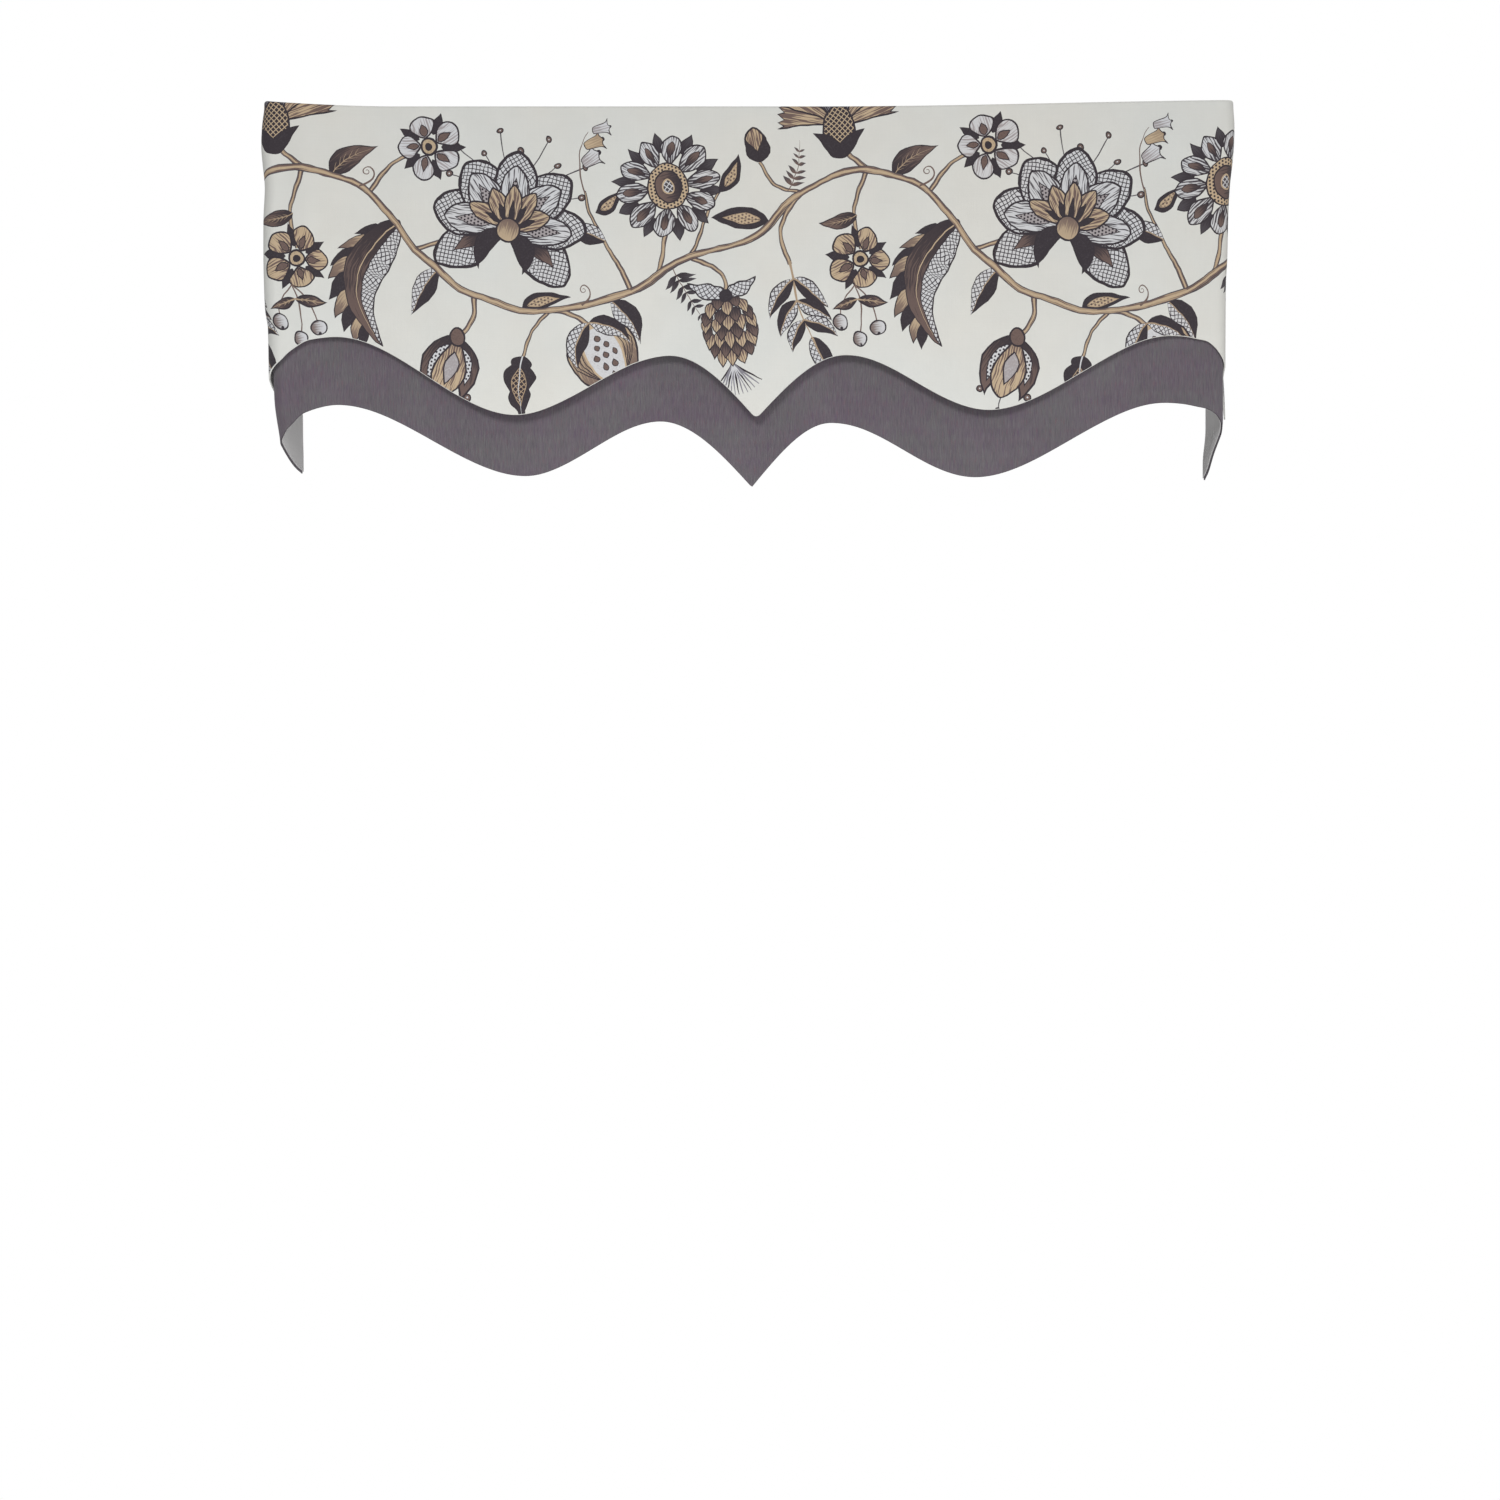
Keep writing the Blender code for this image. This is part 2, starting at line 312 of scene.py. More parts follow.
class Patch:
    """One inked shape. Its hatching runs along the spine."""

    def __init__(self, outline, fill=PLAIN, ink="black", second=None, spine=(0, 1)):
        self.outline, self.spine = np.asarray(outline, complex), np.asarray(spine, complex)
        self.fill, self.ink, self.second = fill, ink, second or ink


def unit(degrees):
    return np.exp(1j * np.radians(degrees))


def placed(patches, at=0, turn=0, size=1.0):
    """Copies of the patches, sized, turned and moved."""

    def move(point):
        return point * size * unit(turn) + at

    return [Patch(move(p.outline), p.fill, p.ink, p.second, move(p.spine)) for p in patches]


def arc(length, bend=0.0, steps=14):
    """A line from 0 that turns through bend degrees."""
    turns = bend * (np.arange(steps) + 0.5) / steps
    return np.concatenate([[0], np.cumsum(unit(turns) * length / steps)])


def curve(points, steps=8):
    """A smooth line through the points."""
    p = np.array([2 * points[0] - points[1], *points, 2 * points[-1] - points[-2]])
    t = np.arange(steps) / steps
    runs = []
    for a, b, c, d in zip(p, p[1:], p[2:], p[3:]):
        runs.append(b + t * ((c - a) + t * ((2 * a - 5 * b + 4 * c - d) + t * (3 * b - a - 3 * c + d))) / 2)
    return np.concatenate([*runs, [points[-1]]])


def sideways(spine):
    """The directions square to a line, to its left."""
    along = np.gradient(spine)
    return 1j * along / np.abs(along)


def headings(spine):
    """The directions along a line, in degrees."""
    return np.angle(np.gradient(spine), deg=True)


def turning(outline):
    """1 for an outline that runs anticlockwise, and -1 for one that runs clockwise."""
    after = np.roll(outline, -1)
    return np.sign(np.sum(outline.real * after.imag - after.real * outline.imag))


def covered(points, outline):
    """Which points lie inside an outline. A loop that it turns over, as at a sharp tip, counts as outside."""
    if turning(outline) < 0:
        outline = outline[::-1]
    start, end = outline[None, :], np.roll(outline, -1)[None, :]
    inside = np.zeros(len(points), bool)
    for first in range(0, len(points), BATCH):
        at = points[first : first + BATCH, None]
        side = (end.real - start.real) * (at.imag - start.imag) - (at.real - start.real) * (end.imag - start.imag)
        rising = (start.imag <= at.imag) & (at.imag < end.imag) & (side > 0)
        falling = (end.imag <= at.imag) & (at.imag < start.imag) & (side < 0)
        inside[first : first + BATCH] = rising.sum(1) > falling.sum(1)
    return inside


def outwards(outline):
    """The directions out of a closed outline at its points."""
    along = np.roll(outline, -1) - np.roll(outline, 1)
    return -1j * along / np.maximum(np.abs(along), 1e-9) * turning(outline)


# The widths of blades, from 0 at the base to 1 at the tip


def leaf_width(s):
    return np.sin(np.pi * s**0.75) ** 1.1


def petal_width(s):
    return np.sin(np.pi * s**1.25) ** 0.62


def oval_width(s):
    return np.sqrt(np.maximum(0, 1 - (2 * s - 1) ** 2))


def plume_width(s):
    return np.sin(np.pi * s**0.62) ** 0.8


def lobed_width(lobes, depth=0.22):
    """The width of a plume whose two sides are cut in round lobes."""

    def width(s):
        return plume_width(s) * (1 - depth * (1 - np.abs(np.sin(np.pi * lobes * np.linspace(0, 1, len(s))))))

    return width


def taper(s):
    return 1 - 0.75 * s


def even(s):
    return np.ones_like(s)


def blade(spine, width, shape=leaf_width, left=1.0, right=1.0, closer_ends=True):
    """The outline of a shape that lies along a spine, with its points closer together near both ends."""
    even_share = share = np.linspace(0, 1, len(spine))
    aside = sideways(spine)
    if closer_ends:
        share = 0.5 - 0.5 * np.cos(np.pi * even_share)
        spine, aside = np.interp(share, even_share, spine), np.interp(share, even_share, aside)
    half = aside * width / 2 * np.clip(shape(share), 0, None)
    outline = np.concatenate([spine + half * left, (spine - half * right)[::-1]])
    return outline[np.abs(outline - np.roll(outline, 1)) > 1e-3]


def disc(radius, count, centre=0):
    return centre + radius * unit(np.arange(count) * 360 / count)


def inked(outline, fill, ink, second=None, spine=(0, 1), line=LINE, edge="black"):
    """A filled shape with a line drawn round it."""
    return [Patch(outline, PLAIN, edge), Patch(outline - outwards(outline) * line, fill, ink, second, spine)]


def drawn(spine, width, look, shape=leaf_width, line=LINE, edge="black"):
    """A blade with a line drawn round it and its hatching along its spine."""
    return inked(blade(spine, width, shape), *look, spine, line, edge)


def cored(spine, width, look, core, core_width, core_look, shape=petal_width, core_shape=leaf_width, lines=(LINE, 0.6)):
    """A drawn blade with a smaller one on it, along the spine between two of its steps."""
    patches = drawn(spine, width, look, shape, lines[0])
    return patches + drawn(spine[slice(*core)], core_width, core_look, core_shape, lines[1])


def stroke(spine, width=1.0, ink="black", shape=even):
    return [Patch(blade(spine, width, shape), PLAIN, ink)]


def fan(count, spread, make, at=0):
    """One shape fanned out evenly, the outermost first, so that the middle one lies on top."""
    turns = sorted(np.linspace(-spread / 2, spread / 2, count), key=lambda a: -abs(a))
    return [p for a in turns for p in placed(make(a), at, a)]


def wreath(count, radius, patches, phase=0):
    turns = phase + np.arange(count) * 360 / count
    return [p for a in turns for p in placed(patches, radius * unit(a), a)]


def both_sides(make, at=0, turn=0):
    """A shape on each side of a motif, turned away from it. make gets the side, 1 or -1."""
    return [p for side in (1, -1) for p in placed(make(side), at, side * turn)]


def in_pairs(spine, steps, turn, make):
    """A shape on each side of a spine at each of the steps. make gets the pair's number and the side, 1 or -1."""
    along, patches = headings(spine), []
    for i, j in enumerate(steps):
        for side in (1, -1):
            patches += placed(make(i, side), spine[j], along[j] + side * turn)
    return patches


def leaf(length, width, bend=0, upper=DARK, lower=NETTED):
    """A leaf of two halves."""
    spine = arc(length, bend)
    patches = [Patch(blade(spine, width))]
    for left, right, look in ((1, 0, upper), (0, 1, lower)):
        patches.append(Patch(blade(spine, width - 2 * LINE, left=left, right=right), *look, spine))
    return patches + stroke(spine[:-1], 1.3, "tan", taper)


def veined_leaf(length, width, bend, veins=5):
    """A leaf of one colour, with drawn veins."""
    spine = arc(length, bend, 18)
    steps = [3 + int(11 * i / veins) for i in range(veins)]

    def vein(i, side):
        return stroke(arc(width * 0.36 * leaf_width(steps[i] / 18) ** 0.5, -side * 16, 4), 0.7, "tan", taper)

    return drawn(spine, width, SHADED) + in_pairs(spine, steps, 38, vein) + stroke(spine[:-2], 1.2, "tan", taper)


def cored_leaf(length, width, bend):
    """A dark leaf with a paler, dotted middle."""
    spine = arc(length, bend, 20)
    middle = spine[3:-4]
    patches = drawn(spine, width, DARK) + drawn(middle, width * 0.5, (DOTS, "gold", "brown"), line=0.7, edge="tan")
    return patches + stroke(middle[:-3], 0.8, "black", taper)


def stamens(count, spread, length):
    """Fine threads with a bead at each tip."""
    patches = []
    for i, a in enumerate(np.linspace(-spread / 2, spread / 2, count)):
        reach = length * (1 if i % 2 else 0.8)
        tip = reach * unit(a * 1.15)
        patches += stroke(curve([0, reach * 0.5 * unit(a * 0.8), tip], 5), 0.7, "charcoal")
        patches += inked(disc(2.4, 14, tip), PLAIN, "brown", line=0.8) + [Patch(disc(0.6, 6, tip), PLAIN, "white")]
    return patches


def bloom():
    """A large open flower seen from the side."""
    patches = stamens(9, 96, 66)
    for count, spread, length, bend, steps, *petal, lines in (
        (7, 214, 53, 0.35, 20, 31, (NET, "black", "white"), (6, -5), 10, SHADED, (1.8, 0.6)),
        (5, 150, 44, 0.30, 18, 22, PALE, (4, -3), 9, (DOTS, "lilac", "black"), (LINE, 0.6)),
        (5, 110, 31, 0.25, 14, 13, GILDED, (2, -5), 4.5, DARK, (LINE, 0.4)),
    ):
        patches += fan(count, spread, lambda a: cored(arc(length, a * bend, steps), *petal, lines=lines))
    patches += both_sides(lambda side: drawn(arc(34, side * 105), 12, DARK), -3, 96)
    return patches + inked(disc(7.5, 20), SHADE, "gold", "brown", (-8, 8))


def daisy():
    """A round flower with broad petals, and small leaves between them."""
    patches = wreath(10, 26, drawn(arc(18, 0, 8), 10, (SHADE, "black", "charcoal"), line=0.7), 18)
    patches += wreath(10, 15, cored(arc(26, 0, 14), 17, PALE, (3, -3), 6.5, SHADED, core_shape=petal_width))
    patches += inked(disc(17.5, 36), DOTS, "gold", "black", (-18, 18))
    patches += inked(disc(12.0, 28), SHADE, "brown", "black", (-12, 12))
    return patches + inked(disc(5.5, 18), NET, "white", "charcoal", (-6, 6), edge="gold")


def carnation():
    """A fan of petals with notched ends over a netted cup."""
    looks = ((STREAK, "brown", "gold"), (STREAK, "black", "grey"), GILDED)

    def notched(a):
        share = np.linspace(0, 1, 9)
        half = 2.0 + 7.5 * share**1.3
        side = 36 * share + 1j * half
        notches = np.array([0, -3.4, 0.6, -3.4, 1.6, -3.4, 0.6, -3.4, 0])
        rim = 38 + notches + 1j * np.linspace(half[-1], -half[-1], 9)
        outline = np.concatenate([side, rim, np.conj(side)[::-1]])
        return inked(outline, *looks[int(round(abs(a) / 24)) % 3], (0, 36))

    patches = fan(7, 144, notched, 8)
    patches += placed(inked(blade(arc(34, 0, 18), 20, oval_width), NET, "gold", "black", arc(34)), -14)
    return patches + both_sides(lambda side: drawn(arc(25, side * 60), 9, DARK), -14, 12)


def pomegranate():
    """A round fruit with a crown, split open on its seeds."""
    patches = fan(5, 120, lambda a: drawn(arc(20, a * 0.4, 8), 8.5, (SHADE, "brown", "gold")), 52)
    patches += inked(disc(29, 44, 29), SHADE, "gold", "brown", (0, 58), 1.6)
    for side in (1, -1):
        for reach in (17, 20, 23, 26):
            patches += stroke(curve([4 + side * 4j, 29 + side * reach * 1j, 54 + side * 4j], 10), 0.8)
    split = blade(arc(50, 0, 20), 30, oval_width)
    patches += placed(inked(split, PLAIN, "white", "lilac", line=1.6, edge="gold"), 4)
    seed = inked(blade(arc(6.4, 0, 6), 5.0, petal_width), PLAIN, "brown", "black", line=0.6)
    for row, seeds in ((12, 1), (20, 2), (28, 3), (36, 2), (44, 1)):
        for i in range(seeds):
            patches += placed(seed, row + 7.6j * (i - (seeds - 1) / 2))
    return patches + both_sides(lambda side: leaf(42, 17, side * -60), turn=66)


def tulip():
    """A closed flower of three petals."""

    def side_petal(side):
        return cored(arc(40, side * -48), 17, SHADED, (2, -3), 8, (DOTS, "white", "black"), leaf_width)

    spine = arc(38)
    patches = stamens(3, 40, 46) + both_sides(side_petal, turn=40) + drawn(spine, 20, GILDED, petal_width)
    patches += inked(blade(spine[3:-3], 9), PLAIN, "lilac", "white", spine, 0.8)
    return patches + inked(disc(5.5, 18), PLAIN, "brown", "black")


def artichoke():
    """An oval head of overlapping pointed scales under a tuft."""
    patches = fan(13, 84, lambda a: stroke(arc(27, a * 0.3, 8), 2.4, "black" if abs(a) % 3 < 1 else "grey", taper), 50)
    patches += fan(6, 50, lambda a: stroke(arc(20, a * 0.2, 8), 1.3, "white", taper), 50)
    counts = (3, 4, 5, 4, 5, 4, 3, 2)
    for row, scales in enumerate(counts):
        wide = 17.5 * math.sin(math.pi * (row + 0.6) / len(counts)) ** 0.55
        for i in range(scales):
            aside = wide * (2 * i / (scales - 1) - 1) * 0.8
            scale = drawn(arc(15, -aside * 1.2, 10), 9.5, SHADED if row % 2 else GILDED, line=0.8)
            patches += placed(scale, 45 - 6.3 * row - 7 + 1j * aside, aside * 2.2)
    patches += both_sides(lambda side: drawn(arc(30, side * 50), 13, NETTED, lobed_width(3)), -6, 84)
    return patches + inked(disc(5.0, 16, -3), *DARK)


def ash_leaf():
    """Leaflets in pairs along a stem, with one at its end."""
    spine = arc(62, 22, 20)

    def leaflet(i, side):
        looks = (DARK, NETTED) if (i + (side > 0)) % 2 == 0 else (NETTED, DARK)
        return leaf(34 - 3 * i, 13, -side * 26, *looks)

    patches = stroke(spine, 2.0, "tan", taper) + in_pairs(spine, (5, 10, 15), 54, leaflet)
    return patches + placed(leaf(36, 15, 12), spine[-1], headings(spine)[-1])


def scroll_leaf(length, width, bend, lobes):
    """A long curled leaf with lobes down its back."""
    spine = arc(length, bend, 32)
    along, patches = headings(spine), []
    for i in range(lobes):
        share = 0.14 + 0.70 * i / (lobes - 1)
        j = int(share * 32)
        reach = width * 0.78 * math.sin(math.pi * (0.15 + share * 0.8)) ** 0.7
        look = (SHADE, "gold", "brown") if i % 2 else DARK
        patches += placed(drawn(arc(reach, 34, 10), reach * 0.46, look), spine[j], along[j] - 54)
    patches += inked(blade(spine, width, plume_width, 1.0, 0.35), NET, "black", "white", spine, 1.6)
    patches += inked(blade(spine, width, plume_width, 0.30, 0.55), *SHADED, spine)
    return patches + stroke(spine[1:-3] + sideways(spine)[1:-3] * width * 0.02, 1.4, "gold", taper)


def oak_leaf():
    """A lobed leaf with a netted middle."""
    spine = arc(70, 20, 40)
    patches = drawn(spine, 34, DARK, lobed_width(4, 0.34))
    patches += drawn(spine[6:-8], 34 * 0.46, (NET, "tan", "black"), line=0.8, edge="tan")
    return patches + stroke(spine[:-4], 1.3, "white", taper)


def fern(length, pairs, ink="black"):
    """Small leaflets in pairs along a thin stem, shorter towards its tip."""
    spine = arc(length, 24, 24)

    def leaflet(i, side):
        reach = (13 - 1.3 * i) * length / 50
        middle = arc(reach, side * 20, 6)
        return [Patch(blade(middle, reach * 0.36), SHADE, ink, "charcoal", middle)]

    steps = [3 + int(20 * i / pairs) for i in range(pairs)]
    return stroke(spine, 1.1, "brown", taper) + in_pairs(spine, steps, 52, leaflet)


def berries():
    """Three berries and two small leaves on a forked stem."""
    patches = []
    for tip, bend in ((34 + 12j, 1), (40 - 4j, 1), (26 - 17j, -1)):
        patches += stroke(curve([0, tip * 0.5 + 4j * bend, tip], 6), 1.0, "brown")
        patches += inked(disc(6.2, 20, tip), SHADE, "white", "brown", (tip + 4j, tip - 6j))
        patches += [Patch(disc(1.1, 8, tip + 4.5))]
    for turn in (70, -75):
        patches += placed(veined_leaf(22, 9, turn * 0.2, 3), 12, turn)
    return patches


def small_flower(ink="white", second="lilac"):
    """Five short petals round a dark eye, and small leaves between them."""
    spine = arc(14, 0, 12)
    petal = drawn(spine, 13.5, (STREAK, ink, second), petal_width, 0.9)
    petal += inked(blade(spine[1:-4], 4.2), PLAIN, "brown", "black", line=0.5)
    patches = wreath(5, 6.0, inked(blade(arc(13, 0, 8), 6), *DARK, line=0.5), 54) + wreath(5, 4.0, petal, 18)
    return patches + inked(disc(4.6, 16), PLAIN, "gold", "black") + [Patch(disc(2.0, 10))]


def bud():
    patches = drawn(arc(22, 0, 12), 12, (STREAK, "brown", "gold"), petal_width)
    return patches + both_sides(lambda side: inked(blade(arc(17, side * -38, 10), 6.5), *DARK, line=0.8), turn=34)


def bell_flowers():
    """Three hanging bells on one curved stem."""
    spine = arc(56, -46, 20)
    patches = stroke(spine, 1.8, "brown", taper)
    cup = curve([0, 1.5 + 4j, 9 + 6j, 15 + 7.5j, 19 + 11j, 17.5 + 5j, 20 + 0j], 4)
    outline = np.concatenate([cup, np.conj(cup)[::-1][1:-1]])
    for j, size, inks in ((8, 1.0, ("white", "lilac")), (14, 0.9, ("tan", "gold")), (20, 0.8, ("white", "lilac"))):
        bell = [Patch(disc(2.2, 10, 19))] + inked(outline, STREAK, *inks, (0, 20), 0.9)
        patches += placed(bell, spine[j] - 3j, -84 + (14 - j) * 2, size)
    return patches


def tendril():
    share = np.linspace(0, 1, 34)
    return stroke(np.cumsum(unit(360 * 1.6 * share**1.7) * (1.9 - 1.4 * share)), 1.5, "brown", taper)


def vine(points, start, end):
    """A stem with dark edges and a lighter streak along its middle."""
    spine = curve(points, 10)

    def band(less, share=1.0):
        return blade(spine, 1, lambda s: (start + (end - start) * s - less) * share, closer_ends=False)

    return [
        Patch(band(0), PLAIN, "charcoal"),
        Patch(band(2.0), STREAK, "tan", "brown", spine),
        Patch(band(2.0, 0.42), PLAIN, "gold", "tan", spine),
    ]


# The layout of one repeat. A branch is its points and its widths at both ends. A row of the motifs is a motif, what it
# is made with, where it starts, which way it grows, and its size.
MAIN_STEM = (0 - 150j, 58 - 96j, 132 - 70j, 205 - 96j, 256 - 158j, 322 - 212j, 410 - 230j, 500 - 206j, 566 - 166j)
BRANCHES = (
    ((132 - 70j, 112 - 52j, 104 - 30j), 6.5, 5.5),
    ((205 - 96j, 228 - 64j, 254 - 52j), 5.5, 4.5),
    ((256 - 158j, 300 - 146j, 352 - 140j), 6.5, 5.5),
    ((322 - 212j, 322 - 240j, 304 - 262j), 6, 5),
    ((410 - 230j, 434 - 236j, 450 - 244j), 6, 5),
    ((500 - 206j, 532 - 182j, 540 - 140j), 6, 5),
    ((58 - 96j, 34 - 140j, 44 - 176j), 6, 5),
    ((566 - 166j, 602 - 190j, 606 - 212j), 6, 5),
    ((58 - 96j, 28 - 84j, 12 - 62j), 5, 4),
    ((132 - 70j, 118 - 120j, 124 - 160j), 5.5, 4.5),
    ((410 - 230j, 386 - 256j, 376 - 284j), 5, 4),
    ((500 - 206j, 472 - 156j, 452 - 120j, 446 - 92j), 5.5, 3.0),
    ((566 - 166j, 586 - 124j, 600 - 96j), 5, 3.5),
)
MOTIFS = (
    (scroll_leaf, (168, 58, 118, 9), 240 - 130j, -158, 1.0),
    (cored_leaf, (64, 27, 30), 20 - 130j, 160, 1.0),
    (veined_leaf, (64, 26, -34), 160 - 76j, 50, 1.0),
    (leaf, (60, 27, 34), 284 - 184j, -142, 1.0),
    (cored_leaf, (56, 22, -30), 376 - 226j, 26, 1.0),
    (leaf, (62, 27, -40), 478 - 216j, -36, 1.0),
    (leaf, (50, 22, 36), 470 - 150j, 152, 1.0),
    (veined_leaf, (46, 20, -30), 122 - 120j, 206, 1.0),
    (cored_leaf, (44, 19, 30), 458 - 120j, 24, 1.0),
    (bloom, (), 360 - 138j, 80, 1.72),
    (tulip, (), 303 - 260j, -104, 1.9),
    (pomegranate, (), 450 - 242j, -62, 1.4),
    (daisy, (), 542 - 88j, 12, 1.45),
    (carnation, (), 102 - 32j, 98, 1.8),
    (ash_leaf, (), 44 - 172j, -84, 1.5),
    (fern, (84, 8), 548 - 178j, -68, 1.0),
    (artichoke, (), 607 - 216j, -82, 1.45),
    (small_flower, (), 272 - 44j, 20, 2.1),
    (small_flower, ("gold", "brown"), 124 - 170j, 50, 2.0),
    (berries, (), 120 - 200j, -80, 1.5),
    (bud, (), 14 - 62j, 106, 2.0),
    (oak_leaf, (), 376 - 282j, -98, 1.05),
    (bell_flowers, (), 446 - 94j, 108, 1.25),
    (cored_leaf, (52, 21, 26), 600 - 96j, 50, 1.0),
    (tendril, (), 190 - 90j, 10, 1.5),
    (tendril, (), 440 - 226j, 30, 1.4),
    (fern, (56, 6, "brown"), 44 - 92j, 66, 1.0),
)
UNDER = 9  # how many of the motifs lie under the main stem
REPEAT = 635
NEXT_ROW = -80 + 370j  # where the print starts again above


def drawn_by_hand(point):
    """The point moved a little, in slow and quick waves that fit the repeat, so that no shape is quite even."""
    x, y = math.tau * point.real / REPEAT, math.tau * point.imag / REPEAT
    slow = np.sin(7 * x + 5 * y + 1) + 1j * np.sin(6 * x - 8 * y + 2)
    quick = np.sin(31 * x + 23 * y) + 1j * np.sin(27 * x - 37 * y + 4)
    return point + 1.6 * slow + 0.45 * quick


def repeat_unit():
    """The patches of one repeat of the print."""
    patches = [patch for branch in BRANCHES for patch in vine(*branch)]
    stem = [p - REPEAT for p in MAIN_STEM[-2:]] + list(MAIN_STEM) + [p + REPEAT for p in MAIN_STEM[:2]]
    for number, (make, given, at, turn, size) in enumerate(MOTIFS):
        if number == UNDER:
            patches += vine(stem, 8, 8)
        patches += placed(make(*given), at, turn, size)
    for patch in patches:
        patch.outline, patch.spine = drawn_by_hand(patch.outline), drawn_by_hand(patch.spine)
    return patches


# Cloths as meshes


def cut(hem, top, fold=0):
    """The flat outline of a cloth, anticlockwise from its lower left corner. fold is the height of the top fold."""
    across = np.linspace(-HALF_FLAT, HALF_FLAT, round(FLAT_WIDTH / HEM_STEP) + 1)
    lower = across + 1j * (fold - hem(across))
    right, left = (
        corner.real + 1j * np.linspace(corner.imag, top, round((top - corner.imag) / SIDE_STEP) + 1)
        for corner in (lower[-1], lower[0])
    )
    return np.concatenate([lower[:-1], right[:-1], across[:0:-2] + 1j * top, left[:0:-1]])


def grid_points(outline, spacing, fold):
    """Points inside a flat cloth, even on its face and closer together on the fold and round the corners."""
    low, high = outline.imag.min(), outline.imag.max()
    columns = np.linspace(-HALF_FACE, HALF_FACE, round(2 * HALF_FACE / spacing) + 1)
    end = np.linspace(CORNER_PLACES[-1], HALF_FLAT, round(RETURN_RUN / spacing) + 1)[1:-1]
    end = np.concatenate([CORNER_PLACES[1:], end])
    columns = np.concatenate([-end[::-1], columns, end])
    rows = np.arange(high - spacing / 2, low, -spacing)
    if fold:
        below, above = np.arange(-spacing, low, -spacing)[::-1], np.arange(FOLD_ARC + spacing, high, spacing)
        rows = np.concatenate([below, FOLD_ROWS, above])
    place, height = (a.ravel() for a in np.meshgrid(columns, rows))
    hem = outline[: round(FLAT_WIDTH / HEM_STEP) + 1]
    near = np.interp(place, hem.real, hem.imag)
    margin = GRID_MARGIN * spacing
    keep = (height > near + margin) & (height < high - margin)
    return (place + 1j * height)[keep]


def divided(ring, points, patches=(), lines=()):
    """Triangles of the flat cloth inside the ring, split along the patches' outlines and the lines.

    Gives the points, the triangles, and for each point which of the ring's and the given points it stands for."""
    left, right, low, high = ring.real.min(), ring.real.max(), ring.imag.min(), ring.imag.max()
    vertices, edges = list(ring), []
    for patch in patches:
        shape = patch.outline / 1000
        if shape.real.max() < left or shape.real.min() > right or shape.imag.max() < low or shape.imag.min() > high:
            continue
        at = len(vertices) + np.arange(len(shape))
        edges += zip(at.tolist(), np.roll(at, -1).tolist())
        vertices.extend(shape)
    for ends in lines:
        edges.append((len(vertices), len(vertices) + 1))
        vertices.extend(ends)
    vertices.extend(points)
    flat = [Vector((p.real, p.imag)) for p in vertices]
    points, _, triangles, origins, _, sources = delaunay_2d_cdt(flat, edges, [list(range(len(ring)))], 1, MERGED, True)
    kept = [triangle for triangle, source in zip(triangles, sources) if source]
    return np.array([complex(*p) for p in points]), np.array(kept), origins


def topmost(middles, patches):
    """The number of the last patch that covers each point, or 0 for none."""
    order = np.argsort(middles.real)
    middles = middles[order]
    found = np.zeros(len(middles), int)
    for number, patch in enumerate(patches, 1):
        outline = patch.outline / 1000
        first, last = np.searchsorted(middles.real, (outline.real.min(), outline.real.max()))
        heights = middles[first:last].imag
        near = first + np.flatnonzero((heights > outline.imag.min()) & (heights < outline.imag.max()))
        found[near[covered(middles[near], outline)]] = number
    top = np.empty_like(found)
    top[order] = found
    return top


def border(triangles):
    """The vertices round the edge of the triangles, in order."""
    edges = {(a, b) for t in triangles.tolist() for a, b in zip(t, t[1:] + t[:1])}
    following = {a: b for a, b in edges if (b, a) not in edges}
    loop = [min(following)]
    while following[loop[-1]] != loop[0]:
        loop.append(following[loop[-1]])
    return np.array(loop)


def along_ring(ring, directions, loop_points):
    """The ring's directions at the points of a loop, which runs along it and holds its points."""
    order = np.roll(np.arange(len(loop_points)), -np.argmin(abs(loop_points - ring[0])))
    lengths = []
    for line_points in (ring, loop_points[order]):
        steps = abs(np.diff(np.append(line_points, line_points[0])))
        lengths.append(np.concatenate([[0], np.cumsum(steps)]) / steps.sum())
    found = np.interp(lengths[1][:-1], lengths[0], np.append(directions, directions[0]))
    back = np.empty_like(found)
    back[order] = found / abs(found)
    return back


def made_unit(vectors):
    """The vectors, each made as long as one."""
    return vectors / np.linalg.norm(vectors, axis=1)[:, None]


def tangents(surface, flat, depth):
    """The directions of growing place and height on a cloth, and out of it."""
    x, y, near = flat.real, flat.imag, TANGENT_STEP
    across = made_unit(surface(x + near, y, depth) - surface(x - near, y, depth))
    up = made_unit(surface(x, y + near, depth) - surface(x, y - near, depth))
    return across, up, made_unit(np.cross(across, up))


